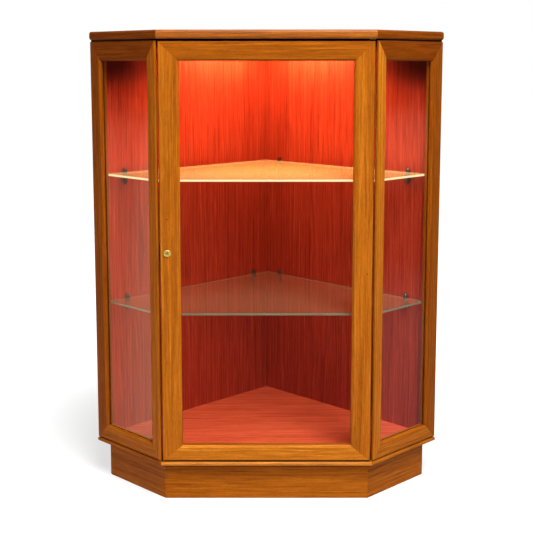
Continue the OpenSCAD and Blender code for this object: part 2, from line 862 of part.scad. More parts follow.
module lamp_screw(grow = 0) {
  translate([0, 0, -1.5]) cylinder(h = 1.5, d = screw_head_d);
  cylinder(h = lamp_wall + screw_hold - 2 + grow, d = screw_d + 2 * grow);
}

module lamp_housing() color(white) difference() {
  lamp_space() cylinder(h = lamp_h, d = lamp_d, $fn = 96);
  lamp_space() translate([0, 0, -eps])
    cylinder(h = lens_t + eps, d = lamp_d - 2 * lens_lip, $fn = 96);
  lamp_space() cylinder(h = lamp_h - lamp_wall, d = lamp_d - 4 * lamp_wall, $fn = 96);
  lamp_space() at_lamp_screws() lamp_screw(screw_clear);
}

module lamp_lens() color(white) lamp_space()
  cylinder(h = lens_t, d = lamp_d - 2 * lens_lip - 2 * pane_clear, $fn = 96);

module lamp_holder() color(white) lamp_space()
  translate([0, 0, lamp_h - lamp_wall - holder_h]) cylinder(h = holder_h, d = holder_d);

module lamp_bulb() color(clear_glass) lamp_space() {
  z = lamp_h - lamp_wall - holder_h;
  translate([0, 0, z - 2]) cylinder(h = 2, d = bulb_d);
  translate([0, 0, z - 2]) intersection() {
    sphere(bulb_d / 2);
    translate([-bulb_d, -bulb_d, -bulb_d]) cube([2 * bulb_d, 2 * bulb_d, bulb_d]);
  }
}

module lamp_screws() color(steel) lamp_space() at_lamp_screws() lamp_screw();

module cable_grommet() color(bronze) at_grommet() rotate([-90, 0, 0]) difference() {
  union() {
    translate([0, 0, -1.5]) cylinder(h = 1.5, d = grommet_d + 5);
    cylinder(h = back_t, d = grommet_d - 2 * screw_clear, $fn = 64);
    translate([0, 0, back_t]) cylinder(h = 1.5, d = grommet_d + 5);
  }
  translate([0, 0, -1.5 - eps]) cylinder(h = back_t + 3 + 2 * eps, d = grommet_d - 7);
}

top_panel();
top_spacer();
ceiling_panel();
top_screws();
base_board();
floor_panel();
plinth_front();
plinth_left();
plinth_right();
plinth_back_left();
plinth_back_right();
plinth_blocks();
block_screws();
back_panel_left();
back_panel_right();
rear_corner_strip();
panel_pins();
left_front_stile();
left_rear_stile();
left_top_rail();
left_bottom_rail();
left_pane();
right_front_stile();
right_rear_stile();
right_top_rail();
right_bottom_rail();
right_pane();
door_left_stile();
door_right_stile();
door_top_rail();
door_bottom_rail();
door_pane();
door_bead_left();
door_bead_right();
door_bead_top();
door_bead_bottom();
pivot_pin_top();
pivot_pin_bottom();
pivot_bush_top();
pivot_bush_bottom();
pivot_washer();
lock_barrel();
lock_plug();
lock_nut();
lock_cam();
lock_cam_screw();
lock_keeper();
keeper_screws();
upper_shelf();
lower_shelf();
upper_shelf_supports();
lower_shelf_supports();
lamp_housing();
lamp_holder();
lamp_bulb();
lamp_lens();
lamp_screws();
cable_grommet();
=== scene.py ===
"""Dresses the corner display cabinet: timber, veneer, glass, brass and its lit interior.

Sizes are metres in the cabinet's own frame: X along the front, the door faces -Y, Z up.
"""

import logging
import math
from collections.abc import Iterable, Sequence
from dataclasses import dataclass
from enum import Enum
from typing import Any

import bmesh
import bpy
from mathutils import Euler, Matrix, Vector


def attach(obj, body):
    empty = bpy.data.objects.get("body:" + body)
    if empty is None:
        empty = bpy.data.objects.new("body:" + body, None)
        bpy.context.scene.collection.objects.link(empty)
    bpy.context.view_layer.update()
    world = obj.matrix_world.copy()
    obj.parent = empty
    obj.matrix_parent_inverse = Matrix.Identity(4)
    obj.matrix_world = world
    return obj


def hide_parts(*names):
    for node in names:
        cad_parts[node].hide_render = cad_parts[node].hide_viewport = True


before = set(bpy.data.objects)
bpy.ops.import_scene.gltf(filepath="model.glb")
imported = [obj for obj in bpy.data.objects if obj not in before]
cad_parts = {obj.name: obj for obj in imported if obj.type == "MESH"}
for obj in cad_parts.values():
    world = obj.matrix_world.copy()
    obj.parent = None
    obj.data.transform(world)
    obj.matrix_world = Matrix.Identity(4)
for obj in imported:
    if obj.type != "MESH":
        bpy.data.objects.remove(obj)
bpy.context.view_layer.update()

log = logging.getLogger("cabinet")

Colour = tuple[float, float, float]
Point = tuple[float, float, float]
Pair = tuple[float, float]
Stops = tuple[tuple[float, Colour], ...]
Spot = tuple[Vector, Vector]

ROOT2 = math.sqrt(2.0)
UP = Vector((0.0, 0.0, 1.0))
DOWN = Vector((0.0, 0.0, -1.0))
WHITE = (1.0, 1.0, 1.0)
BLACK = (0.0, 0.0, 0.0)
CABINET = "cabinet"
DOOR = "door"
PLUG = "lock_plug"


# ---------------------------------------------------------------- plan and named choices


class Side(Enum):
    """Which side of the cabinet something is on, as seen from the front."""

    LEFT = -1
    RIGHT = 1

    @property
    def word(self) -> str:
        """The side's name as the nodes use it."""
        return self.name.lower()


class Grain(Enum):
    """The direction that a board's grain runs in, as a turn from +X in degrees (x, y, z)."""

    ACROSS = (0.0, 0.0, 0.0)
    UPRIGHT = (0.0, -90.0, 0.0)
    RIGHT = (0.0, 0.0, 45.0)
    LEFT = (0.0, 0.0, 135.0)

    @property
    def turn(self) -> tuple[float, float, float]:
        """The turn in radians."""
        return tuple(math.radians(a) for a in self.value)

    @property
    def axis(self) -> Vector:
        """The unit vector along the grain."""
        return Euler(self.turn).to_matrix() @ Vector((1.0, 0.0, 0.0))


@dataclass(frozen=True)
class Plan:
    """The five-sided plan and the main heights that pieces are placed by."""

    half_front: float = 0.239
    side_len: float = 0.2285
    front_y: float = -0.277574
    wall_gap: float = 0.014
    back_t: float = 0.008
    case_z: float = 0.092
    ceiling_z: float = 1.009
    ceiling_t: float = 0.014
    floor_t: float = 0.012
    frame_h: float = 0.931
    door_half: float = 0.232
    door_gap: float = 0.0015
    door_front: float = -0.002
    lamp_y: float = 0.330

    @property
    def side_run(self) -> float:
        """How far a side frame reaches outwards, and backwards."""
        return self.side_len / ROOT2

    @property
    def half_case(self) -> float:
        """Half the width between the side tips."""
        return self.half_front + self.side_run

    @property
    def wall_len(self) -> float:
        """Length of a wall line from the side tip to the rear corner."""
        return self.half_case * ROOT2

    @property
    def inner_back(self) -> float:
        """Distance from a wall line to the inside of its back panel."""
        return self.wall_gap + self.back_t

    def case(self, x: float, y: float, z: float) -> Vector:
        """A point given from the front of the side frames.

        Args:
            x: Along the front, from the middle.
            y: Backwards from the front of the side frames.
            z: Height above the floor.

        Returns:
            The point in the cabinet's frame.
        """
        return Vector((x, y + self.front_y, z))

    def wall(self, along: float, inward: float, z: float, side: Side) -> Vector:
        """A point given along a wall line.

        Args:
            along: Distance from the side tip towards the rear corner.
            inward: Distance from the wall line into the case.
            z: Height above the floor.
            side: Which wall.

        Returns:
            The point in the cabinet's frame.
        """
        x = self.half_case - (along + inward) / ROOT2
        y = self.side_run + (along - inward) / ROOT2
        return self.case(side.value * x, y, z)

    @staticmethod
    def into_case(side: Side) -> Vector:
        """The unit vector from a wall into the case."""
        return Vector((-side.value / ROOT2, -1.0 / ROOT2, 0.0))


PLAN = Plan()


# ---------------------------------------------------------------- finishes


class Nodes:
    """A node tree under construction."""

    def __init__(self, tree: bpy.types.NodeTree) -> None:
        """Starts the tree without any node."""
        self.tree = tree
        tree.nodes.clear()

    def add(self, kind: str, inputs: dict[Any, Any] | None = None, **settings: Any) -> bpy.types.Node:
        """Adds a node.

        Args:
            kind: The node's type name.
            inputs: Socket name or number to a value, to the socket that feeds it, or to a list of sockets.
            **settings: The node's own properties.

        Returns:
            The new node.
        """
        made = self.tree.nodes.new(kind)
        for name, value in settings.items():
            setattr(made, name, value)
        for key, value in (inputs or {}).items():
            for one in value if isinstance(value, list) else [value]:
                if isinstance(one, bpy.types.NodeSocket):
                    self.tree.links.new(one, made.inputs[key])
                else:
                    made.inputs[key].default_value = one
        return made

    def sum(self, kind: str, *values: Any, clamp: bool = False) -> bpy.types.NodeSocket:
        """The result of a Math node.

        Args:
            kind: The operation.
            *values: Its inputs, in order.
            clamp: Whether the result is kept within 0 and 1.

        Returns:
            The result's socket.
        """
        made = self.add("ShaderNodeMath", dict(enumerate(values)), operation=kind, use_clamp=clamp)
        return made.outputs[0]

    def parts(self, vector: bpy.types.NodeSocket) -> Any:
        """The X, Y and Z sockets of a vector."""
        return self.add("ShaderNodeSeparateXYZ", {0: vector}).outputs


@dataclass(frozen=True)
class Layer:
    """A layer of noise: its cycles per metre on each axis, its octaves and how strong the fine ones are."""

    rates: tuple[float, float, float]
    octaves: float
    rough: float = 0.5


class Shader(Nodes):
    """A material, or the world's surroundings, under construction."""

    def __init__(self, name: str, world: bool = False) -> None:
        """Starts an empty material, or empty surroundings.

        Args:
            name: Its name.
            world: Whether it is the world's surroundings.
        """
        self.owner = bpy.data.worlds.new(name) if world else bpy.data.materials.new(name)
        self.owner.use_nodes = True
        self.output = "ShaderNodeOutputWorld" if world else "ShaderNodeOutputMaterial"
        super().__init__(self.owner.node_tree)

    def place(self) -> bpy.types.NodeSocket:
        """Where the surface is, in metres in the cabinet's frame."""
        return self.add("ShaderNodeTexCoord").outputs["Object"]

    def vector(self, kind: str, *values: Any) -> bpy.types.NodeSocket:
        """The vector result of a Vector Math node."""
        return self.add("ShaderNodeVectorMath", dict(enumerate(values)), operation=kind).outputs[0]

    def distance(self, first: Any, second: Any = BLACK) -> bpy.types.NodeSocket:
        """The distance between two places, or from the frame's origin."""
        made = self.add("ShaderNodeVectorMath", {0: first, 1: second}, operation="DISTANCE")
        return made.outputs["Value"]

    def noise(self, at: bpy.types.NodeSocket, layer: Layer, output: str = "Fac") -> bpy.types.NodeSocket:
        """A layer of noise.

        Args:
            at: Where it is read, in metres.
            layer: What it is like.
            output: Which of the node's outputs is wanted.

        Returns:
            The noise's socket.
        """
        inputs = {
            "Vector": self.vector("MULTIPLY", at, layer.rates),
            "Scale": 1.0,
            "Detail": layer.octaves,
            "Roughness": layer.rough,
        }
        return self.add("ShaderNodeTexNoise", inputs).outputs[output]

    def ramp(
        self,
        value: bpy.types.NodeSocket,
        stops: Sequence[tuple[float, Colour]],
    ) -> bpy.types.NodeSocket:
        """A colour by a value.

        Args:
            value: The value.
            stops: Position and colour of each stop.

        Returns:
            The colour's socket.
        """
        made = self.add("ShaderNodeValToRGB", {"Fac": value})
        elements = made.color_ramp.elements
        while len(elements) < len(stops):
            elements.new(0.5)
        for element, (place, colour) in zip(elements, stops):
            element.position = place
            element.color = (*colour, 1.0)
        return made.outputs["Color"]

    def spread(
        self, value: bpy.types.NodeSocket, low: float, high: float, to_low: float = 0.0, to_high: float = 1.0
    ) -> bpy.types.NodeSocket:
        """Maps a value from one range to another, smoothly and within it.

        Args:
            value: The value.
            low: Start of its range.
            high: End of its range.
            to_low: What the start becomes.
            to_high: What the end becomes.

        Returns:
            The new value's socket.
        """
        made = self.add(
            "ShaderNodeMapRange",
            {"Value": value, "From Min": low, "From Max": high, "To Min": to_low, "To Max": to_high},
            interpolation_type="SMOOTHSTEP",
        )
        return made.outputs["Result"]

    def between(self, share: Any, first: Any, second: Any) -> bpy.types.NodeSocket:
        """A value between two others by a share of the second."""
        return self.sum("MULTIPLY_ADD", share, self.sum("SUBTRACT", second, first), first)

    def mix(self, share: Any, first: Any, second: Any, blend: str = "MIX") -> bpy.types.NodeSocket:
        """Mixes two colours.

        Args:
            share: How much of the second.
            first: First colour.
            second: Second colour.
            blend: How they combine.

        Returns:
            The mixed colour's socket.
        """
        made = self.add("ShaderNodeMix", data_type="RGBA", blend_type=blend)
        for key, value in ((0, share), (6, first), (7, second)):
            if isinstance(value, bpy.types.NodeSocket):
                self.tree.links.new(value, made.inputs[key])
            else:
                made.inputs[key].default_value = (*value, 1.0) if isinstance(value, tuple) else value
        return made.outputs[2]

    def coat(self, kind: str, **inputs: Any) -> bpy.types.NodeSocket:
        """A plain surface.

        Args:
            kind: The shader's type, without what all of them start with.
            **inputs: Its inputs by name, with _ for a space; a colour is three numbers or a socket.

        Returns:
            The surface.
        """
        named = {name.replace("_", " "): value for name, value in inputs.items()}
        named = {name: (*value, 1.0) if isinstance(value, tuple) else value for name, value in named.items()}
        return self.add(f"ShaderNode{kind}", named).outputs[0]

    def blend(self, share: Any, first: Any, second: Any) -> bpy.types.NodeSocket:
        """Two surfaces mixed by a share of the second."""
        return self.add("ShaderNodeMixShader", {0: share, 1: first, 2: second}).outputs[0]

    def bumped(self, height: bpy.types.NodeSocket, strength: float, relief: float) -> bpy.types.NodeSocket:
        """The normal of a surface with that much relief."""
        made = self.add("ShaderNodeBump", {"Height": height, "Strength": strength, "Distance": relief})
        return made.outputs[0]

    def end(self, surface: bpy.types.NodeSocket) -> bpy.types.Material | bpy.types.World:
        """Links the surface and returns the finished material or surroundings."""
        self.add(self.output, {"Surface": surface})
        return self.owner


def scaled(colour: Colour, by: float) -> Colour:
    """A colour made darker or lighter."""
    return tuple(c * by for c in colour)


TONE_POWERS = (1.0, 1.4, 2.4)


def toned(colour: Colour, tone: float) -> Colour:
    """A wood colour made darker and redder, or lighter and paler."""
    return tuple(c * tone**power for c, power in zip(colour, TONE_POWERS))


@dataclass(frozen=True)
class Knot:
    """A small dark knot in a board: its place, its radius and how it fades into the wood."""

    at: Point
    radius: float
    core: float = 0.4
    reach: float = 1.3
    depth: float = 0.9
    tint: float = 0.25


@dataclass(frozen=True)
class Seam:
    """A painted shade line across a board: its axis, its place, how far it is dark and how far it reaches."""

    axis: str
    at: float
    dark_to: float
    light_from: float
    depth: float = 0.92
    # colour of the painted shade
    colour: Colour = (0.030, 0.008, 0.001)


# how far the painted shadow under a frame's foot is dark, and how far it reaches
FOOT_SHADE_REACH = (0.0024, 0.0044)


def foot_shade_line(height: float) -> Seam:
    """The painted shadow line along the foot of a frame that stands at a height."""
    return Seam("Z", height, *FOOT_SHADE_REACH)


@dataclass(frozen=True)
class Patch:
    """A part of a wall with painted light or painted shade: where it comes in across and up, and by how much.
    """

    across: Pair
    up: Pair
    tint: float
    depth: float = 1.0
    full_at: float = 1.0


@dataclass(frozen=True)
class WoodFigure:
    """What a plain sawn wood shows: the layers of its grain, and how much each one counts."""

    sway: Layer = Layer((1.6, 9.0, 9.0), 2.0)
    bands: Layer = Layer((1.6, 62.0, 62.0), 3.0, 0.55)
    streaks: Layer = Layer((4.0, 240.0, 240.0), 4.0, 0.70)
    fibres: Layer = Layer((26.0, 600.0, 600.0), 3.0, 0.6)
    pores: Layer = Layer((110.0, 1900.0, 1900.0), 1.0)
    band_share: float = 0.36
    streak_share: float = 0.85
    fibre_share: float = 0.75
    ring_rate: float = 58.0
    ring_bend: float = 34.0
    pore_edge: Pair = (0.30, 0.40)
    pore_tint: float = 0.45
    fibre_relief: float = 0.4
    bump: float = 0.35
    shift: Point = (1.37, 0.713, 0.531)
    sheen_range: Pair = (0.2, 0.8)


@dataclass(frozen=True)
class WoodFinish:
    """A wood with straight grain, oiled or lacquered."""

    name: str
    grain: Grain
    stops: Stops
    seed: float = 0.0
    tone: float = 1.0
    contrast: float = 1.0
    wander: float = 0.010
    ring_share: float = 0.20
    pore_depth: float = 0.5
    roughness: Pair = (0.50, 0.36)
    gloss: float = 0.06
    relief: float = 0.00025
    knots: tuple[Knot, ...] = ()
    # a painted shade line, and patches of painted light and painted shade
    seam: Seam | None = None
    painted_light: Patch | None = None
    shaded: Patch | None = None
    figure: WoodFigure = WoodFigure()

    def material(self) -> bpy.types.Material:
        """Builds the wood.

        Returns:
            The material: growth bands, streaks and fibres along the grain, with open pores.
        """
        s, look = Shader(self.name), self.figure
        spot = s.place()
        at = self.wandering(s, spot)
        layers = (look.bands, look.streaks, look.fibres, look.pores)
        bands, streaks, fibres, pores = (s.noise(at, layer) for layer in layers)
        rings = s.add(
            "ShaderNodeTexWave",
            {"Vector": at, "Scale": look.ring_rate, "Phase Offset": s.sum("MULTIPLY", bands, look.ring_bend)},
            bands_direction="Y",
        ).outputs["Fac"]
        shares = (look.band_share, look.streak_share, look.fibre_share, self.ring_share)
        value: Any = 0.5
        for layer, share in zip((bands, streaks, fibres, rings), shares):
            value = s.sum("MULTIPLY_ADD", s.sum("SUBTRACT", layer, 0.5), share * self.contrast, value)
        pore = s.spread(pores, *look.pore_edge, 1.0, 0.0)
        colour = s.ramp(value, [(place, toned(tint, self.tone)) for place, tint in self.stops])
        dark = scaled(toned(self.stops[0][1], self.tone), look.pore_tint)
        colour = s.mix(s.sum("MULTIPLY", pore, self.pore_depth), colour, dark)
        colour = self.marked(s, spot, colour)
        height = s.sum("SUBTRACT", s.sum("MULTIPLY_ADD", fibres, look.fibre_relief, streaks), pore)
        return s.end(s.coat(
            "BsdfPrincipled",
            Base_Color=colour,
            Roughness=s.spread(value, *look.sheen_range, *self.roughness),
            Specular_IOR_Level=self.gloss,
            Normal=s.bumped(height, look.bump, self.relief),
        ))

    def wandering(self, s: Shader, spot: bpy.types.NodeSocket) -> bpy.types.NodeSocket:
        """Turns a place so that X runs along the grain, and lets the grain wander.

        Args:
            s: The material.
            spot: The place.

        Returns:
            The place in the wood's own axes.
        """
        shift = scaled(self.figure.shift, self.seed)
        local = s.add(
            "ShaderNodeMapping",
            {"Vector": spot, "Location": shift, "Rotation": self.grain.turn},
            vector_type="TEXTURE",
        ).outputs[0]
        sway = s.vector("SUBTRACT", s.noise(local, self.figure.sway, "Color"), (0.5, 0.5, 0.5))
        return s.vector("ADD", local, s.vector("MULTIPLY", sway, (0.0, self.wander, self.wander)))

    def marked(
        self,
        s: Shader,
        spot: bpy.types.NodeSocket,
        colour: bpy.types.NodeSocket,
    ) -> bpy.types.NodeSocket:
        """Adds the knots, the painted shade line and the patches of painted light and painted shade.

        Args:
            s: The material.
            spot: The place on the board.
            colour: The wood's colour without them.

        Returns:
            The colour with them.
        """
        for knot in self.knots:
            near = s.spread(
                s.distance(spot, knot.at), knot.radius * knot.core, knot.radius * knot.reach, knot.depth, 0.0
            )
            colour = s.mix(near, colour, scaled(self.stops[0][1], knot.tint))
        parts = s.parts(spot)
        # painted shade: a dark line where a gap or an edge is in shade
        if self.seam is not None:
            away = s.sum("SUBTRACT", s.sum("ABSOLUTE", parts[self.seam.axis]), self.seam.at)
            reach = (self.seam.dark_to, self.seam.light_from)
            dark = s.spread(s.sum("ABSOLUTE", away), *reach, self.seam.depth, 0.0)
            colour = s.mix(dark, colour, self.seam.colour)
        # painted light: a wall's lower outer part made paler
        if self.painted_light is not None:
            outer = s.spread(parts["X"], *self.painted_light.across, 1.0, 0.0)
            share = s.sum("MULTIPLY", outer, s.spread(parts["Z"], *self.painted_light.up, 1.0, 0.0))
            colour = s.mix(share, colour, (self.painted_light.tint,) * 3, "MULTIPLY")
        # painted shade: a wall's top outer corner darkened
        if self.shaded is not None:
            outer = s.spread(s.sum("ABSOLUTE", parts["X"]), *self.shaded.across)
            corner = s.sum("MULTIPLY", outer, s.spread(parts["Z"], *self.shaded.up))
            share = s.spread(corner, 0.0, self.shaded.full_at, 0.0, self.shaded.depth)
            colour = s.mix(share, colour, (self.shaded.tint,) * 3)
        return colour


TEAK_STOPS = (
    (0.16, (0.235, 0.058, 0.0030)),
    (0.40, (0.390, 0.104, 0.0045)),
    (0.60, (0.520, 0.150, 0.0075)),
    (0.86, (0.690, 0.235, 0.0180)),
)
VENEER_STOPS = (
    (0.14, (0.215, 0.014, 0.0042)),
    (0.40, (0.360, 0.029, 0.0105)),
    (0.62, (0.465, 0.043, 0.0165)),
    (0.88, (0.600, 0.078, 0.0300)),
)
# inner floor: lighter than the walls' veneer, partly its own tone and partly painted light for the light that
# falls on it through the door
FLOOR_TONE_AND_LIGHT_STOPS = (
    (0.14, (0.430, 0.045, 0.0150)),
    (0.40, (0.620, 0.079, 0.0300)),
    (0.62, (0.720, 0.106, 0.0420)),
    (0.88, (0.820, 0.155, 0.0680)),
)
PINE_STOPS = (
    (0.15, (0.46, 0.27, 0.13)),
    (0.45, (0.60, 0.39, 0.20)),
    (0.65, (0.68, 0.47, 0.26)),
    (0.88, (0.76, 0.56, 0.34)),
)
PLY_STOPS = (
    (0.15, (0.26, 0.125, 0.060)),
    (0.45, (0.36, 0.185, 0.092)),
    (0.65, (0.42, 0.225, 0.115)),
    (0.88, (0.50, 0.280, 0.150)),
)


def teak(
    name: str,
    grain: Grain,
    seed: float,
    tone: float = 1.0,
    knots: tuple[Knot, ...] = (),
    gloss: float = 0.06,
    seam: Seam | None = None,
) -> bpy.types.Material:
    """The lacquered teak of the frames and boards.

    Args:
        name: The board's name.
        grain: Which way its grain runs.
        seed: Which part of the tree it was cut from.
        tone: How light the board is; for some boards this holds painted light or shade as well.
        knots: Its knots.
        gloss: How strongly its lacquer shines.
        seam: A painted shade line along it, if it has one.

    Returns:
        The material.
    """
    return WoodFinish(
        f"teak_{name}", grain, TEAK_STOPS, seed, tone, contrast=0.9, knots=knots, gloss=gloss, seam=seam
    ).material()


def veneer(
    name: str,
    grain: Grain,
    seed: float,
    stops: Stops = VENEER_STOPS,
    contrast: float = 0.85,
    painted_light: Patch | None = None,
    shaded: Patch | None = None,
) -> bpy.types.Material:
    """The red-brown veneer of the inside.

    Args:
        name: The panel's name.
        grain: Which way its grain runs.
        seed: Which part of the tree it was cut from.
        stops: Its colours from dark to light.
        contrast: How strongly its figure shows.
        painted_light: A part made paler as painted light, if it has one.
        shaded: A part made darker as painted shade, if it has one.

    Returns:
        The material.
    """
    return WoodFinish(
        f"veneer_{name}", grain, stops, seed,
        contrast=contrast, wander=0.018, ring_share=0.30, pore_depth=0.3, roughness=(0.46, 0.34),
        relief=0.00015, painted_light=painted_light, shaded=shaded,
    ).material()


@dataclass(frozen=True)
class SmoothFinish:
    """A smooth finish with a fine grain and faint patches."""

    name: str
    colour: Colour
    roughness: float
    gloss: float
    metallic: float
    grain: Layer
    patches: Layer
    wear: float
    bump: float
    uneven: Pair
    relief: float = 0.0001
    middle: Pair = (0.3, 0.7)

    def material(self) -> bpy.types.Material:
        """Builds the finish.

        Returns:
            The material.
        """
        s = Shader(self.name)
        spot = s.place()
        fine = s.noise(spot, self.grain)
        worn = scaled(self.colour, 1.0 - self.wear)
        low, high = (self.roughness * share for share in self.uneven)
        return s.end(s.coat(
            "BsdfPrincipled",
            Base_Color=s.ramp(s.noise(spot, self.patches), tuple(zip(self.middle, (worn, self.colour)))),
            Metallic=self.metallic,
            Roughness=s.spread(fine, *self.middle, low, high),
            Specular_IOR_Level=self.gloss,
            Normal=s.bumped(fine, self.bump, self.relief),
        ))


@dataclass(frozen=True)
class MetalFinish(SmoothFinish):
    """A metal with fine brushing or casting grain."""

    roughness: float = 0.30
    gloss: float = 0.5
    metallic: float = 1.0
    grain: Layer = Layer((900.0, 900.0, 900.0), 3.0, 0.6)
    patches: Layer = Layer((110.0, 110.0, 110.0), 2.0)
    wear: float = 0.12
    bump: float = 0.15
    uneven: Pair = (0.8, 1.25)


@dataclass(frozen=True)
class PlasticFinish(SmoothFinish):
    """A moulded plastic, paint or enamel with a faint texture."""

    roughness: float = 0.45
    gloss: float = 0.4
    metallic: float = 0.0
    grain: Layer = Layer((1400.0, 1400.0, 1400.0), 2.0)
    patches: Layer = Layer((40.0, 40.0, 40.0), 2.0)
    wear: float = 0.1
    bump: float = 0.12
    uneven: Pair = (0.85, 1.15)


@dataclass(frozen=True)
class PaneFinish:
    """Clear float glass for the door and the side frames."""

    name: str = "clear_pane"
    tint: Colour = (0.955, 0.975, 0.965)
    bend: float = 1.5
    smears: Layer = Layer((14.0, 14.0, 5.0), 3.0, 0.6)
    smear_range: Pair = (0.35, 0.75)
    roughness: Pair = (0.012, 0.05)

    def material(self) -> bpy.types.Material:
        """Builds the glass.

        Returns:
            The material: clear, with a reflection on the faces that look outwards.
        """
        s = Shader(self.name)
        path = s.add("ShaderNodeLightPath").outputs
        back = s.add("ShaderNodeNewGeometry").outputs["Backfacing"]
        gleam = s.add("ShaderNodeFresnel", {"IOR": self.bend}).outputs[0]
        hidden = s.sum("MAXIMUM", back, path["Is Shadow Ray"])
        share = s.sum("MULTIPLY", gleam, s.sum("SUBTRACT", 1.0, hidden), clamp=True)
        smear = s.spread(s.noise(s.place(), self.smears), *self.smear_range, *self.roughness)
        clear = s.coat("BsdfTransparent", Color=self.tint)
        return s.end(s.blend(share, clear, s.coat("BsdfGlossy", Roughness=smear)))


@dataclass(frozen=True)
class ShelfFinish:
    """Shelf glass: it mirrors at a low angle, carries a film of dust tinted with painted reflection, and its
    front edge has a painted glow.
    """

    name: str
    film: float
    # strength of the painted glow on the front edges
    glow: float
    painted_glow_colour: Colour = (1.0, 0.70, 0.34)
    tint: Colour = (0.94, 0.975, 0.96)
    # the dust film's tint: partly dust, partly painted reflection of the lamp and the red walls
    dust_and_sheen_colour: Colour = (0.95, 0.76, 0.32)
    edge_colour: Colour = (0.20, 0.22, 0.13)
    shade: float = 0.68
    bend: float = 1.52
    level_from: Pair = (0.55, 0.85)
    dust: Layer = Layer((260.0, 260.0, 40.0), 4.0, 0.65)
    roughness: Pair = (0.03, 0.08)
    shine_range: Pair = (0.3, 0.7)
    film_spread: Pair = (0.8, 1.2)
    film_range: Pair = (0.25, 0.75)
    least_slant: float = 0.02
    edge_roughness: float = 0.22
    rear_edge: Colour = (0.70, 0.66, 0.58)
    rear_from: Pair = (-0.3, 0.3)
    inner_edge: float = 0.6

    def material(self) -> bpy.types.Material:
        """Builds the shelf glass.

        Returns:
            The material: faces and edges told apart by the way that they face.
        """
        s = Shader(self.name)
        shape = s.add("ShaderNodeNewGeometry").outputs
        level = s.spread(s.sum("ABSOLUTE", s.parts(shape["Normal"])["Z"]), *self.level_from)
        solid = s.blend(level, self.rim(s, shape), self.face(s, shape))
        veil = s.coat("BsdfTransparent", Color=(self.shade,) * 3)
        path = s.add("ShaderNodeLightPath").outputs
        return s.end(s.blend(path["Is Shadow Ray"], solid, veil))

    def face(self, s: Shader, shape: Any) -> bpy.types.NodeSocket:
        """The level faces: clear glass that mirrors, under a dust film tinted with painted reflection that
        shows most at a low angle.

        Args:
            s: The material.
            shape: The sockets that tell which way the surface faces.

        Returns:
            The surface.
        """
        dust = s.noise(s.place(), self.dust)
        gleam = s.add("ShaderNodeFresnel", {"IOR": self.bend}).outputs[0]
        outside = s.sum("SUBTRACT", 1.0, shape["Backfacing"])
        both_faces = s.sum("DIVIDE", s.sum("MULTIPLY", gleam, 2.0), s.sum("ADD", gleam, 1.0))
        mirror = s.sum("MULTIPLY", both_faces, outside, clamp=True)
        shine = s.coat("BsdfGlossy", Roughness=s.spread(dust, *self.shine_range, *self.roughness))
        glass = s.blend(mirror, s.coat("BsdfTransparent", Color=self.tint), shine)
        facing = s.add("ShaderNodeLayerWeight").outputs["Facing"]
        slant = s.sum("MAXIMUM", s.sum("SUBTRACT", 1.0, facing), self.least_slant)
        depth = s.spread(dust, *self.film_range, *(self.film * share for share in self.film_spread))
        clearness = s.sum("EXPONENT", s.sum("MULTIPLY", s.sum("DIVIDE", depth, slant), -1.0))
        haze = s.sum("MULTIPLY", s.sum("SUBTRACT", 1.0, clearness), outside)
        film = s.coat("BsdfDiffuse", Color=s.mix(haze, BLACK, self.dust_and_sheen_colour))
        return s.add("ShaderNodeAddShader", {0: glass, 1: film}).outputs[0]

    def rim(self, s: Shader, shape: Any) -> bpy.types.NodeSocket:
        """The edges: the front ones carry a painted glow, the rear ones are seen through.

        Args:
            s: The material.
            shape: The sockets that tell which way the surface faces.

        Returns:
            The surface.
        """
        edge = s.coat(
            "BsdfPrincipled",
            Base_Color=self.edge_colour,
            Roughness=self.edge_roughness,
            Emission_Color=self.painted_glow_colour,
            Emission_Strength=self.glow,
        )
        rear = s.spread(s.parts(shape["True Normal"])["Y"], *self.rear_from)
        hidden = s.sum("MAXIMUM", rear, s.sum("MULTIPLY", shape["Backfacing"], self.inner_edge))
        return s.blend(hidden, edge, s.coat("BsdfTransparent", Color=self.rear_edge))


@dataclass(frozen=True)
class GlowFinish:
    """Opal glass or a filament bulb that is lit."""

    name: str
    colour: Colour = (1.0, 0.72, 0.42)
    strength: float = 4.0
    base: Colour = (0.85, 0.82, 0.76)
    roughness: float = 0.25
    fall: Pair = (0.008, 0.034)
    uneven: Pair = (1.3, 0.7)

    def material(self) -> bpy.types.Material:
        """Builds the lit glass.

        Returns:
            The material: a little dimmer towards the lamp's rim.
        """
        s = Shader(self.name)
        level = s.vector("MULTIPLY", s.place(), (1.0, 1.0, 0.0))
        far = s.distance(level, tuple(PLAN.case(0.0, PLAN.lamp_y, 0.0)))
        power = s.spread(far, *self.fall, *(self.strength * share for share in self.uneven))
        return s.end(s.coat(
            "BsdfPrincipled",
            Base_Color=self.base,
            Roughness=self.roughness,
            Emission_Color=self.colour,
            Emission_Strength=power,
        ))


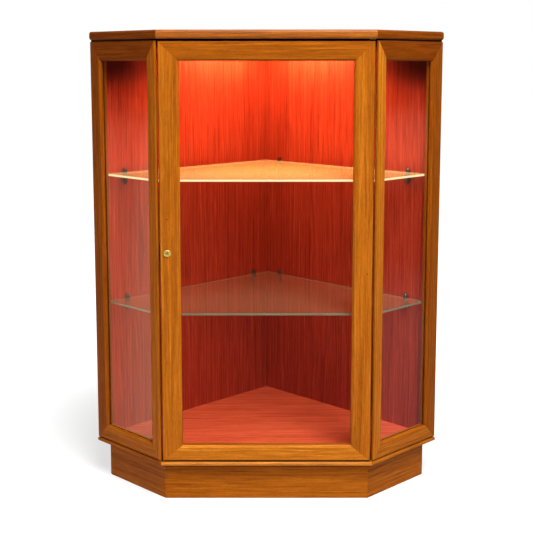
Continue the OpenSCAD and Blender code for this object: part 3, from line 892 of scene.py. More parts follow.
class Finishes:
    """The finishes that several sub-assemblies share."""

    def __init__(self) -> None:
        """Builds each of them once."""
        self.pane = PaneFinish().material()
        self.brass = MetalFinish("brass", (0.86, 0.60, 0.22), 0.40).material()
        self.bright_brass = MetalFinish("bright_brass", (0.92, 0.68, 0.17), 0.30, metallic=0.5).material()
        # a darker brass for the lock's plug, so the lock's middle reads darker than its face
        self.darker_brass = MetalFinish("darker_brass", (0.66, 0.47, 0.13), 0.34, metallic=0.5).material()
        self.steel = MetalFinish("zinc_steel", (0.56, 0.56, 0.55), 0.34).material()
        self.bronze = MetalFinish("dark_bronze", (0.20, 0.165, 0.135), 0.42).material()
        self.black_steel = MetalFinish("blackened_steel", (0.06, 0.058, 0.055), 0.45).material()
        self.nylon = PlasticFinish("nylon", (0.78, 0.76, 0.70)).material()
        self.dark_nylon = PlasticFinish("dark_nylon", (0.05, 0.035, 0.025)).material()
        self.enamel = PlasticFinish("white_enamel", (0.80, 0.77, 0.70), 0.3).material()
        # matt black for the spacer under the top: painted shade standing in for the shade of that recess
        self.gap_shade_black = PlasticFinish("matt_black_paint", (0.012, 0.009, 0.007), 0.7, 0.1).material()
        self.black_rubber = PlasticFinish("black_rubber", (0.022, 0.022, 0.022), 0.6, 0.3).material()
        self.pine = WoodFinish(
            "bare_pine", Grain.UPRIGHT, PINE_STOPS, 3.3, roughness=(0.75, 0.6), gloss=0.1
        ).material()
        self.ply = WoodFinish(
            "bare_ply", Grain.UPRIGHT, PLY_STOPS, 5.1, roughness=(0.8, 0.65), gloss=0.1, wander=0.035
        ).material()


# ---------------------------------------------------------------- mesh helpers

SHARP_ANGLE = math.radians(40.0)
FLAT_ANGLE = math.radians(0.6)
SHADED_FLAT = math.radians(28.0)
SAME_POINT = 2e-6
SAME_LEVEL = 1e-4
SAME_WAY = 0.9995
LOOKS_THAT_WAY = 0.5
ROUND_STEPS = 3
SAME_PLANE = 1e-6
TINY = 1e-9


def merged(node: str) -> bmesh.types.BMesh:
    """A copy of a node's shape with its loose triangles joined into plain faces.

    Args:
        node: The node's name.

    Returns:
        The joined mesh.
    """
    bm = bmesh.new()
    bm.from_mesh(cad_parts[node].data)
    bmesh.ops.remove_doubles(bm, verts=bm.verts, dist=SAME_POINT)
    bmesh.ops.dissolve_limit(bm, angle_limit=FLAT_ANGLE, verts=bm.verts, edges=bm.edges)
    return bm


def soften(bm: bmesh.types.BMesh, width: float, along: Vector | None = None, foot: float = 0.0) -> None:
    """Rounds a shape's sharp edges a little.

    Args:
        bm: The shape.
        width: Width of the rounding.
        along: Only edges that run this way, or all of them.
        foot: Width of the rounding of its lowest edges, which draws a shadow line under it, if it differs.
    """
    low = min(vert.co.z for vert in bm.verts) + SAME_LEVEL
    for at_foot, reach in ((False, width), (True, foot or width)):
        chosen = []
        for edge in bm.edges:
            if len(edge.link_faces) != 2 or edge.calc_face_angle(0.0) < SHARP_ANGLE:
                continue
            run = (edge.verts[1].co - edge.verts[0].co).normalized()
            lowest = bool(foot) and all(vert.co.z < low for vert in edge.verts)
            if lowest == at_foot and (along is None or abs(run.dot(along)) > SAME_WAY):
                chosen.append(edge)
        if chosen:
            bmesh.ops.bevel(
                bm,
                geom=chosen,
                offset=reach,
                segments=ROUND_STEPS,
                profile=0.5,
                affect="EDGES",
                clamp_overlap=True,
            )
    bmesh.ops.dissolve_degenerate(bm, dist=SAME_POINT, edges=bm.edges)


def as_object(bm: bmesh.types.BMesh, name: str, *materials: bpy.types.Material) -> bpy.types.Object:
    """Makes an object of a mesh, smooth across shallow angles.

    Args:
        bm: The mesh, which is freed.
        name: The object's name.
        *materials: Its materials.

    Returns:
        The object, linked to the scene.
    """
    mesh = bpy.data.meshes.new(name)
    bm.to_mesh(mesh)
    bm.free()
    return as_piece(mesh, name, *materials)


def as_piece(mesh: bpy.types.Mesh, name: str, *materials: bpy.types.Material) -> bpy.types.Object:
    """Makes an object of a finished mesh, with flat faces kept flat in its shading.

    Args:
        mesh: The mesh.
        name: The object's name.
        *materials: Its materials.

    Returns:
        The object, linked to the scene.
    """
    for material in materials:
        mesh.materials.append(material)
    mesh.shade_smooth()
    mesh.set_sharp_from_angle(angle=SHADED_FLAT)
    made = bpy.data.objects.new(name, mesh)
    bpy.context.scene.collection.objects.link(made)
    even = made.modifiers.new("even_shading", "WEIGHTED_NORMAL")
    even.keep_sharp = True
    return made


def place(piece: bpy.types.Object, body: str, slot: str, *nodes: str) -> bpy.types.Object:
    """Fixes a finished piece to its body and reports it.

    Args:
        piece: The piece.
        body: The body that it moves with.
        slot: The record's material slot of its finish; not used.
        *nodes: The nodes that it stands for.

    Returns:
        The piece.
    """
    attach(piece, body)
    if nodes:
        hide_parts(*nodes)
    log.info("%s: %d faces", piece.name, len(piece.data.polygons))
    return piece


def paint(node: str, material: bpy.types.Material) -> None:
    """Gives a node that is shown as it is its finish.

    Args:
        node: The node's name.
        material: The finish.
    """
    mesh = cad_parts[node].data
    mesh.materials.clear()
    mesh.materials.append(material)
    log.info("%s: painted", node)


def board(
    node: str,
    body: str,
    slot: str,
    material: bpy.types.Material,
    width: float = 0.0006,
    along: Vector | None = None,
    foot: float = 0.0,
) -> bpy.types.Object:
    """A node's shape with softened edges.

    Args:
        node: The node that it stands for.
        body: The body that it moves with.
        slot: The record's material slot.
        material: Its finish.
        width: Width of the rounding.
        along: Only edges that run this way are rounded.
        foot: Width of the rounding of its lowest edges, if it differs.

    Returns:
        The piece.
    """
    bm = merged(node)
    soften(bm, width, along, foot)
    return place(as_object(bm, f"{node}_board", material), body, slot, node)


@dataclass(frozen=True)
class Lipping:
    """Solid wood edging round the front and the sides of a board, mitred at its corners."""

    front: float
    side: float
    width: float = 0.022
    rounded_from: float = 0.80

    def edges(self) -> list[Spot]:
        """The board's outer edges.

        Returns:
            A point on each and the way that it looks: front, left and right.
        """
        reach = PLAN.half_front + self.side * ROOT2
        found = [(PLAN.case(0.0, -self.front, 0.0), Vector((0.0, -1.0, 0.0)))]
        for sign in (-1.0, 1.0):
            found.append((PLAN.case(sign * reach, 0.0, 0.0), Vector((sign / ROOT2, -1.0 / ROOT2, 0.0))))
        return found

    def mark(self, bm: bmesh.types.BMesh) -> None:
        """Cuts the edging's outlines into a board and numbers its faces.

        Args:
            bm: The board, whose faces get 0 for the field and the front, 1 for left and 2 for right.
        """
        edges = self.edges()
        cuts = [(at - way * self.width, way) for at, way in edges]
        cuts += [(self.corner(edges[0], side), (edges[0][1] - side[1]).normalized()) for side in edges[1:]]
        for at, way in cuts:
            whole = [*bm.verts, *bm.edges, *bm.faces]
            bmesh.ops.bisect_plane(bm, geom=whole, dist=SAME_PLANE, plane_co=at, plane_no=way)
        bm.normal_update()
        for face in bm.faces:
            middle = face.calc_center_median()
            depths = [way.dot(at - middle) for at, way in edges]
            nearest = min(range(3), key=depths.__getitem__)
            # rounded corner faces keep the field's tone, not the edgings': a painted highlight on the corners
            rounded = sum(face.normal.dot(way) > self.rounded_from for _, way in edges) > 1
            field = rounded or depths[nearest] > self.width + SAME_PLANE
            face.material_index = 0 if field else nearest

    @staticmethod
    def corner(first: Spot, second: Spot) -> Vector:
        """Where two edges meet in the plan.

        Args:
            first: One edge, as a point on it and the way that it looks.
            second: The other edge.

        Returns:
            The corner, at floor height.
        """
        (a, n), (b, m) = first, second
        turn = n.x * m.y - n.y * m.x
        p, q = a.dot(n), b.dot(m)
        return Vector(((p * m.y - q * n.y) / turn, (q * n.x - p * m.x) / turn, 0.0))


@dataclass(frozen=True)
class LevelBoard:
    """How a level board of the case is finished: its edging, its cut of wood, its tones with painted light
    and shade, and its lacquer.
    """

    lipping: Lipping
    seed: float
    tones_and_shading: tuple[float, float, float]
    rounding: float
    gloss: float = 0.30
    edge_gloss: float = 0.06
    seed_step: float = 2.3

    def build(self, node: str) -> bpy.types.Object:
        """Makes the board.

        Args:
            node: The node that it stands for.

        Returns:
            The piece.
        """
        bm = merged(node)
        soften(bm, self.rounding)
        self.lipping.mark(bm)
        members = (("field", Grain.ACROSS), ("left", Grain.LEFT), ("right", Grain.RIGHT))
        woods = [
            teak(
                f"{node}_{word}", grain, self.seed + self.seed_step * k, self.tones_and_shading[k],
                gloss=self.edge_gloss if k else self.gloss,
            )
            for k, (word, grain) in enumerate(members)
        ]
        return place(as_object(bm, f"{node}_board", *woods), CABINET, "teak_level", node)


def turned(profile: Sequence[Pair], at: Vector, axis: Vector, segments: int = 72) -> bmesh.types.BMesh:
    """A closed shape turned on a lathe.

    Args:
        profile: Radius and distance along the axis of each point, round the section.
        at: The axis's origin.
        axis: The axis's direction.
        segments: Faces round the axis.

    Returns:
        The mesh.
    """
    bm = bmesh.new()
    frame_of = axis.to_track_quat("Z", "Y").to_matrix()
    rings: list[list[bmesh.types.BMVert]] = []
    for radius, along in profile:
        if radius < TINY:
            rings.append([bm.verts.new(at + frame_of @ Vector((0.0, 0.0, along)))])
            continue
        ring = []
        for k in range(segments):
            a = 2.0 * math.pi * k / segments
            corner = Vector((radius * math.cos(a), radius * math.sin(a), along))
            ring.append(bm.verts.new(at + frame_of @ corner))
        rings.append(ring)
    closed = len(rings[0]) > 1 and len(rings[-1]) > 1
    pairs = list(zip(rings, rings[1:])) + ([(rings[-1], rings[0])] if closed else [])
    for first, second in pairs:
        for k in range(segments):
            n = k + 1
            corners = [(first, k), (first, n), (second, n), (second, k)]
            unique = list(dict.fromkeys(ring[j % len(ring)] for ring, j in corners))
            if len(unique) > 2:
                bm.faces.new(unique)
    bmesh.ops.recalc_face_normals(bm, faces=bm.faces)
    return bm


def arc(centre: Pair, radius: float, start: float, end: float, steps: int = 6) -> list[Pair]:
    """Points of an arc in a lathe section.

    Args:
        centre: Its centre, as radius and distance along the axis.
        radius: Its radius.
        start: First angle in degrees, from outwards towards the axis's end.
        end: Last angle.
        steps: Number of steps.

    Returns:
        The points.
    """
    angles = [math.radians(start + (end - start) * k / steps) for k in range(steps + 1)]
    return [(centre[0] + radius * math.cos(a), centre[1] + radius * math.sin(a)) for a in angles]


# ---------------------------------------------------------------- repeated pieces


AT_ORIGIN = 1e-7
WELD = 2e-5


class RepeatTree(Nodes):
    """A Geometry Nodes tree that sets one shape on every spot of a mesh."""

    def __init__(self, name: str, sizes: dict[str, float]) -> None:
        """Starts the tree.

        Args:
            name: The tree's name.
            sizes: Its named sizes and their values.
        """
        super().__init__(bpy.data.node_groups.new(name, "GeometryNodeTree"))
        self.sizes = sizes
        face = self.tree.interface
        face.new_socket("Spots", in_out="INPUT", socket_type="NodeSocketGeometry")
        for size in sizes:
            face.new_socket(size, in_out="INPUT", socket_type="NodeSocketFloat")
        face.new_socket("Finish", in_out="INPUT", socket_type="NodeSocketMaterial")
        face.new_socket("Geometry", in_out="OUTPUT", socket_type="NodeSocketGeometry")
        self.input = self.tree.nodes.new("NodeGroupInput")

    def size(self, name: str) -> bpy.types.NodeSocket:
        """The socket of a named size, or of another of the tree's inputs."""
        return self.input.outputs[name]

    def at(self, x: Any = 0.0, y: Any = 0.0, z: Any = 0.0) -> bpy.types.NodeSocket:
        """A vector of three values or sockets."""
        return self.add("ShaderNodeCombineXYZ", {0: x, 1: y, 2: z}).outputs[0]

    def moved(
        self,
        shape: bpy.types.NodeSocket,
        to: Any,
        turn: Point = (0.0, 0.0, 0.0),
    ) -> bpy.types.NodeSocket:
        """A shape turned and moved."""
        inputs = {"Geometry": shape, "Translation": to, "Rotation": turn}
        return self.add("GeometryNodeTransform", inputs).outputs[0]

    def bar(
        self,
        radius: Any,
        length: Any,
        top: Any | None = None,
        segments: int = 32,
    ) -> bpy.types.NodeSocket:
        """A closed bar or cone from the origin up.

        Args:
            radius: Its radius below.
            length: Its length.
            top: Its radius on top, if it differs.
            segments: Faces round it.

        Returns:
            The shape.
        """
        inputs = {
            "Vertices": segments,
            "Radius Top": radius if top is None else top,
            "Radius Bottom": radius,
            "Depth": length,
        }
        return self.add("GeometryNodeMeshCone", inputs, fill_type="NGON").outputs["Mesh"]

    def box(self, x: Any, y: Any, z: Any) -> bpy.types.NodeSocket:
        """A box about the origin."""
        return self.add("GeometryNodeMeshCube", {"Size": self.at(x, y, z)}).outputs["Mesh"]

    def join(self, *shapes: bpy.types.NodeSocket) -> bpy.types.NodeSocket:
        """Several shapes as one."""
        return self.add("GeometryNodeJoinGeometry", {"Geometry": list(shapes)}).outputs[0]

    def height(self) -> bpy.types.NodeSocket:
        """The height of each face's middle."""
        return self.parts(self.add("GeometryNodeInputPosition").outputs[0])["Z"]

    def without(self, shape: bpy.types.NodeSocket, gone: bpy.types.NodeSocket) -> bpy.types.NodeSocket:
        """A shape without the faces that a socket names."""
        inputs = {"Geometry": shape, "Selection": gone}
        return self.add("GeometryNodeDeleteGeometry", inputs, domain="FACE").outputs[0]

    def capsule(
        self, radius: bpy.types.NodeSocket, length: bpy.types.NodeSocket, segments: int = 32, rings: int = 16
    ) -> bpy.types.NodeSocket:
        """A bar from the origin down whose lower end is a dome.

        Args:
            radius: Its radius.
            length: Its length to the dome's middle.
            segments: Faces round it.
            rings: Rings of faces of the whole ball that the dome is half of.

        Returns:
            The closed shape, flat at the origin.
        """
        sizes = {"Segments": segments, "Rings": rings, "Radius": radius}
        ball = self.add("GeometryNodeMeshUVSphere", sizes).outputs["Mesh"]
        dome = self.without(ball, self.sum("GREATER_THAN", self.height(), -AT_ORIGIN))
        rod = self.bar(radius, length, segments=segments)
        tube = self.without(rod, self.sum("LESS_THAN", self.height(), AT_ORIGIN))
        down = self.at(z=self.sum("MULTIPLY", length, -1.0))
        both = self.join(self.moved(dome, down), self.moved(tube, down))
        return self.add("GeometryNodeMergeByDistance", {"Geometry": both, "Distance": WELD}).outputs[0]

    def set_on(
        self, spots: Iterable[Spot], shape: bpy.types.NodeSocket, name: str, finish: bpy.types.Material
    ) -> bpy.types.Object:
        """Sets the shape on every spot and makes one plain piece of them.

        Args:
            spots: The place of each, and the way that its own +Z points.
            shape: The shape.
            name: The piece's name.
            finish: Its finish.

        Returns:
            The piece, without the tree.
        """
        spots = list(spots)
        mesh = bpy.data.meshes.new(f"{name}_spots")
        mesh.from_pydata([at for at, _ in spots], [], [])
        turns = mesh.attributes.new("turn", "FLOAT_VECTOR", "POINT")
        for item, (_, way) in zip(turns.data, spots):
            item.vector = way.to_track_quat("Z", "Y").to_euler()
        stored = self.add("GeometryNodeInputNamedAttribute", {"Name": "turn"}, data_type="FLOAT_VECTOR")
        turn = self.add("FunctionNodeEulerToRotation", {0: stored.outputs[0]}).outputs[0]
        set_out = {"Points": self.size("Spots"), "Instance": shape, "Rotation": turn}
        many = self.add("GeometryNodeInstanceOnPoints", set_out).outputs[0]
        real = self.add("GeometryNodeRealizeInstances", {0: many}).outputs[0]
        dressed = {"Geometry": real, "Material": self.size("Finish")}
        self.add("NodeGroupOutput", {0: self.add("GeometryNodeSetMaterial", dressed).outputs[0]})

        holder = bpy.data.objects.new(f"{name}_spots", mesh)
        bpy.context.scene.collection.objects.link(holder)
        modifier = holder.modifiers.new("repeat", "NODES")
        modifier.node_group = self.tree
        for item in self.tree.interface.items_tree:
            if item.in_out == "INPUT" and item.name in self.sizes:
                modifier[item.identifier] = self.sizes[item.name]
            elif item.in_out == "INPUT" and item.name == "Finish":
                modifier[item.identifier] = finish
        seen = holder.evaluated_get(bpy.context.evaluated_depsgraph_get())
        plain = bpy.data.meshes.new_from_object(seen)
        plain.name = name
        holder.modifiers.remove(modifier)
        bpy.data.objects.remove(holder)
        return as_piece(plain, name)


@dataclass(frozen=True)
class CrossScrews:
    """Cross-recessed screws of one size: countersunk, or with a pan head.

    The neck and the recess are shares of the head's or the shank's size.
    """

    head_r: float
    head_h: float
    shank_r: float
    length: float
    countersunk: bool = True
    neck: float = 1.02
    pan: float = 0.96
    slot_width: float = 0.30
    slot_reach: float = 1.15
    slot_depth: float = 0.62
    slot_turn: float = 27.0
    slot_step: float = 0.98
    shank_start: float = 0.9
    shank_facets: int = 24

    def build(self, name: str, spots: Iterable[Spot], finish: bpy.types.Material) -> bpy.types.Object:
        """Makes the screws.

        Args:
            name: The piece's name.
            spots: Where each head's seat is, and the way that each screw points.
            finish: Their finish.

        Returns:
            The piece.
        """
        sizes = {
            "Head radius": self.head_r,
            "Head height": self.head_h,
            "Neck radius": self.shank_r * self.neck if self.countersunk else self.head_r * self.pan,
            "Shank radius": self.shank_r,
            "Shank length": self.length,
            "Recess width": self.head_r * self.slot_width,
            "Recess reach": self.head_r * self.slot_reach,
            "Recess depth": self.head_h * self.slot_depth,
        }
        t = RepeatTree(f"{name}_tree", sizes)
        down = 0.0 if self.countersunk else -self.head_h
        head = t.bar(t.size("Head radius"), t.size("Head height"), t.size("Neck radius"))
        head = t.moved(head, t.at(z=down))
        depth = t.sum("MULTIPLY", t.size("Recess depth"), 2.0)
        slots = (
            t.box(t.size("Recess width"), t.size("Recess reach"), depth),
            t.box(t.size("Recess reach"), t.size("Recess width"), t.sum("MULTIPLY", depth, self.slot_step)),
        )
        turn = (0.0, 0.0, math.radians(self.slot_turn))
        for slot in slots:
            cut = {"Mesh 1": head, "Mesh 2": t.moved(slot, t.at(z=down), turn)}
            head = t.add("GeometryNodeMeshBoolean", cut, operation="DIFFERENCE", solver="EXACT").outputs[0]
        start: Any = 0.0
        if self.countersunk:
            start = t.sum("MULTIPLY", t.size("Head height"), self.shank_start)
        length = t.sum("SUBTRACT", t.size("Shank length"), start)
        shank = t.bar(t.size("Shank radius"), length, segments=self.shank_facets)
        return t.set_on(spots, t.join(head, t.moved(shank, t.at(z=start))), name, finish)


@dataclass(frozen=True)
class PanelPins:
    """Small flat-headed pins that hold the back panels."""

    head_r: float = 0.0020
    head_h: float = 0.0008
    shank_r: float = 0.0010
    length: float = 0.0170
    rim: float = 0.78
    head_facets: int = 20
    shank_facets: int = 12

    def build(self, name: str, spots: Iterable[Spot], finish: bpy.types.Material) -> bpy.types.Object:
        """Makes the pins.

        Args:
            name: The piece's name.
            spots: Where each head's underside is, and the way that each pin points.
            finish: Their finish.

        Returns:
            The piece.
        """
        sizes = {
            "Head radius": self.head_r,
            "Rim radius": self.head_r * self.rim,
            "Head height": self.head_h,
            "Shank radius": self.shank_r,
            "Length": self.length,
        }
        t = RepeatTree(f"{name}_tree", sizes)
        head = t.bar(t.size("Rim radius"), t.size("Head height"), t.size("Head radius"), self.head_facets)
        head = t.moved(head, t.at(z=t.sum("MULTIPLY", t.size("Head height"), -1.0)))
        shank = t.bar(t.size("Shank radius"), t.size("Length"), segments=self.shank_facets)
        return t.set_on(spots, t.join(head, shank), name, finish)


@dataclass(frozen=True)
class ShelfSupports:
    """Cast supports: a domed stub under the glass, a spine behind it and a knob above it."""

    radius: float = 0.005
    drop: float = 0.023
    rise: float = 0.010
    glass: float = 0.005
    clear: float = 0.0003
    set_off: float = 0.001
    spine_w: float = 0.006
    spine_t: float = 0.0035
    spigot_r: float = 0.0025
    spigot_len: float = 0.006
    spigot_facets: int = 24

    def build(self, name: str, spots: Iterable[Spot], finish: bpy.types.Material) -> bpy.types.Object:
        """Makes the supports.

        Args:
            name: The piece's name.
            spots: Where each touches its wall at the glass's underside, and the way into the case.
            finish: Their finish.

        Returns:
            The piece.
        """
        sizes = {
            "Radius": self.radius,
            "Stub": self.drop - self.radius,
            "Knob": self.rise - self.clear - self.radius,
            "Seat": self.glass + self.clear,
            "Set-off": self.radius + self.set_off,
            "Spine width": self.spine_w,
            "Spine thickness": self.spine_t,
            "Spine height": self.drop + self.glass + self.rise - 2.0 * self.radius,
            "Spine middle": (self.glass + self.rise - self.drop) / 2.0,
            "Spigot radius": self.spigot_r,
            "Spigot length": self.spigot_len + self.spine_t / 2.0,
            "Spigot height": -self.drop / 2.0,
        }
        t = RepeatTree(f"{name}_tree", sizes)
        stub = t.capsule(t.size("Radius"), t.size("Stub"))
        knob = t.capsule(t.size("Radius"), t.size("Knob"))
        knob = t.moved(knob, t.at(z=t.size("Seat")), (math.pi, 0.0, 0.0))
        pegs = t.moved(t.join(stub, knob), t.at(y=t.size("Set-off")))
        middle = t.sum("MULTIPLY", t.size("Spine thickness"), 0.5)
        spine = t.box(t.size("Spine width"), t.size("Spine thickness"), t.size("Spine height"))
        spine = t.moved(spine, t.at(y=middle, z=t.size("Spine middle")))
        spigot = t.bar(t.size("Spigot radius"), t.size("Spigot length"), segments=self.spigot_facets)
        spigot = t.moved(spigot, t.at(y=middle, z=t.size("Spigot height")), (math.pi / 2.0, 0.0, 0.0))
        # the spots' +Z is the way into the case and their +Y is up, so the shape is laid down for them
        whole = t.moved(t.join(pegs, spine, spigot), t.at(), (math.pi / 2.0, 0.0, math.pi))
        return t.set_on(spots, whole, name, finish)


# ---------------------------------------------------------------- sub-assemblies


@dataclass
class Top:
    """The top board, its recessed spacer and the ceiling panel."""

    finishes: Finishes
    # field, left and right edging tones: the edgings' darker tones paint the shade on the sides, which get
    # less light than the front
    slab: LevelBoard = LevelBoard(
        Lipping(front=0.007, side=0.002), seed=1.7, tones_and_shading=(0.84, 0.45, 0.516), rounding=0.0008
    )
    ceiling_seed: float = 9.2
    screws: CrossScrews = CrossScrews(head_r=0.004, head_h=0.002, shank_r=0.002, length=0.028)
    screw_x: float = 0.150
    screw_ys: Pair = (0.060, 0.250)

    def build(self) -> None:
        """Makes the boards and the screws that hold them."""
        self.slab.build("top_panel")
        # the spacer is matt black: painted shade for the recess under the top
        paint("top_spacer", self.finishes.gap_shade_black)
        board("ceiling_panel", CABINET, "veneer", veneer("ceiling", Grain.ACROSS, self.ceiling_seed))
        places = [(x, y) for x in (-self.screw_x, self.screw_x) for y in self.screw_ys]
        spots = [(PLAN.case(x, y, PLAN.ceiling_z), UP) for x, y in places]
        place(self.screws.build("top_screws_set", spots, self.finishes.steel), CABINET, "steel", "top_screws")


@dataclass
class Base:
    """The thin base board, the inner floor and the plinth with its corner blocks."""

    finishes: Finishes
    # field, left and right edging tones: the front's high tone paints the highlight on the lip's nosing, the
    # left's low tone paints shade on the side away from the light
    slab: LevelBoard = LevelBoard(
        Lipping(front=0.0065, side=0.002), seed=4.9, tones_and_shading=(1.42, 0.66, 0.98), rounding=0.0004
    )
    floor_seed: float = 2.6
    floor_contrast: float = 1.35
    screws: CrossScrews = CrossScrews(head_r=0.004, head_h=0.002, shank_r=0.002, length=0.076)
    block_corner: Pair = (0.33234, 0.16617)
    block_rear: float = 0.49851
    screw_z: float = 0.024
    rounding: float = 0.0008
    # painted shadow of the base board's lip, a dark line along the plinth boards' tops
    lip_shadow: Seam = Seam("Z", 0.079, 0.0015, 0.0085)
    seed: float = 11.3
    seed_step: float = 2.9
    # the boards' tones are partly their own and partly painted shade: the left board, away from the light, is
    # darkest
    boards: tuple[tuple[str, Grain, str, float], ...] = (
        ("plinth_front", Grain.ACROSS, "teak_level", 0.84),
        ("plinth_left", Grain.LEFT, "teak_left", 0.72),
        ("plinth_right", Grain.RIGHT, "teak_right", 0.80),
        ("plinth_back_left", Grain.RIGHT, "teak_right", 0.85),
        ("plinth_back_right", Grain.LEFT, "teak_left", 0.85),
    )

    def build(self) -> None:
        """Makes the boards, the blocks and their screws."""
        self.slab.build("base_board")
        inner_floor = veneer("floor", Grain.ACROSS, self.floor_seed, FLOOR_TONE_AND_LIGHT_STOPS, self.floor_contrast)
        board("floor_panel", CABINET, "veneer", inner_floor)
        for k, (node, grain, slot, tone) in enumerate(self.boards):
            wood = teak(node, grain, self.seed + self.seed_step * k, tone, seam=self.lip_shadow)
            board(node, CABINET, slot, wood, self.rounding, grain.axis)
        board("plinth_blocks", CABINET, "plain_wood", self.finishes.pine, self.rounding)
        x, y = self.block_corner
        spots = [(PLAN.case(*at, self.screw_z), UP) for at in ((x, y), (0.0, self.block_rear), (-x, y))]
        screws = self.screws.build("block_screws_set", spots, self.finishes.steel)
        place(screws, CABINET, "steel", "block_screws")


@dataclass(frozen=True)
class Grommet:
    """The rubber grommet in the right back panel where the lamp's lead leaves."""

    from_corner: float = 0.070
    below_ceiling: float = 0.017
    groove_r: float = 0.00795
    hole_r: float = 0.0045
    lip_r: float = 0.0105
    lip_t: float = 0.0015
    lip_round: float = 0.0009
    hole_round: float = 0.0006

    def build(self, finish: bpy.types.Material) -> None:
        """Makes the grommet.

        Args:
            finish: Its finish.
        """
        along = PLAN.wall_len - PLAN.inner_back - self.from_corner
        at = PLAN.wall(along, PLAN.wall_gap, PLAN.ceiling_z - self.below_ceiling, Side.RIGHT)
        t, hole, lip, round_r = PLAN.back_t, self.hole_r, self.lip_r, self.lip_round
        middle, mouth, flare = self.lip_t - round_r, hole + self.hole_round, round_r
        section = [
            (mouth, -self.lip_t), *arc((lip - round_r, -middle), round_r, -90.0, 0.0, 4), (lip, 0.0),
            (self.groove_r, 0.0), (self.groove_r, t),
            (lip, t), *arc((lip - round_r, t + middle), round_r, 0.0, 90.0, 4), (mouth, t + self.lip_t),
            (hole, t + flare), (hole, -flare),
        ]
        ring = as_object(turned(section, at, PLAN.into_case(Side.RIGHT)), "cable_grommet_ring", finish)
        place(ring, CABINET, "black_plastic", "cable_grommet")


@dataclass
class Back:
    """The two back panels, the strip behind their corner and the pins that hold them."""

    finishes: Finishes
    seeds: Pair = (6.4, 8.8)
    # painted light: the lower outer part of the left wall is made paler
    lit_patch: Patch = Patch(across=(-0.285, -0.205), up=(0.66, 0.80), tint=1.2)
    # painted shade: the top outer corners of both walls are darkened
    dark: Patch = Patch(across=(0.240, 0.365), up=(0.885, 0.992), tint=0.0, depth=0.80, full_at=0.85)
    strip_rounding: float = 0.0008
    edge: float = 0.060
    stile_pin: float = 0.0145
    side_t: float = 0.018
    level_pins: int = 3
    upright_pins: int = 4

    def build(self) -> None:
        """Makes the panels, veneered inside and bare outside, with their pins."""
        for side, seed in zip(Side, self.seeds):
            self.panel(side, seed)
        board("rear_corner_strip", CABINET, "plain_wood", self.finishes.pine, self.strip_rounding)
        spots = [(at, PLAN.into_case(side)) for side in Side for at in self.pins(side)]
        place(PanelPins().build("panel_pins_set", spots, self.finishes.steel), CABINET, "steel", "panel_pins")
        Grommet().build(self.finishes.black_rubber)

    def panel(self, side: Side, seed: float) -> None:
        """Makes one panel.

        Args:
            side: Which wall it stands on.
            seed: Which part of the tree its veneer comes from.
        """
        node = f"back_panel_{side.word}"
        bm = merged(node)
        inward = PLAN.into_case(side)
        for face in bm.faces:
            face.material_index = 0 if face.normal.dot(inward) > LOOKS_THAT_WAY else 1
        painted_light = self.lit_patch if side is Side.LEFT else None
        inside = veneer(node, Grain.UPRIGHT, seed, painted_light=painted_light, shaded=self.dark)
        place(as_object(bm, f"{node}_board", inside, self.finishes.ply), CABINET, "veneer", node)

    def pins(self, side: Side) -> list[Vector]:
        """Where the pins of one wall are.

        Args:
            side: Which wall.

        Returns:
            The places of their heads' undersides.
        """
        length = PLAN.wall_len - PLAN.inner_back - self.side_t
        level_gap = (length - 2.0 * self.edge) / (self.level_pins - 1)
        upright_gap = (PLAN.frame_h - 2.0 * self.edge) / (self.upright_pins - 1)
        heights = (PLAN.case_z + PLAN.floor_t / 2.0, PLAN.ceiling_z + PLAN.ceiling_t / 2.0)
        first, lowest = self.side_t + self.edge, PLAN.case_z + self.edge
        places = [(first + k * level_gap, z) for k in range(self.level_pins) for z in heights]
        places += [(self.stile_pin, lowest + k * upright_gap) for k in range(self.upright_pins)]
        return [PLAN.wall(along, PLAN.wall_gap, z, side) for along, z in places]


@dataclass
class SideFrame:
    """One glazed side frame: two stiles, two rails and a pane."""

    finishes: Finishes
    side: Side
    tones_and_shading: dict[str, float]
    seed: float
    seed_step: float = 3.1
    rounding: float = 0.0006
    foot_rounding: float = 0.0014

    def build(self) -> None:
        """Makes the frame's members and its pane."""
        level = Grain.LEFT if self.side is Side.LEFT else Grain.RIGHT
        slot = f"teak_{self.side.word}"
        members = (
            ("front_stile", Grain.UPRIGHT, "teak_upright"),
            ("rear_stile", Grain.UPRIGHT, "teak_upright"),
            ("top_rail", level, slot),
            ("bottom_rail", level, slot),
        )
        for k, (part, grain, material_slot) in enumerate(members):
            node = f"{self.side.word}_{part}"
            lowest = part == "bottom_rail"
            # painted shadow line along the bottom rail's foot, where it stands on the base board
            seam = foot_shade_line(PLAN.case_z) if lowest else None
            wood = teak(node, grain, self.seed + self.seed_step * k, self.tones_and_shading[part], seam=seam)
            foot = self.foot_rounding if lowest else 0.0
            board(node, CABINET, material_slot, wood, self.rounding, grain.axis, foot)
        paint(f"{self.side.word}_pane", self.finishes.pane)


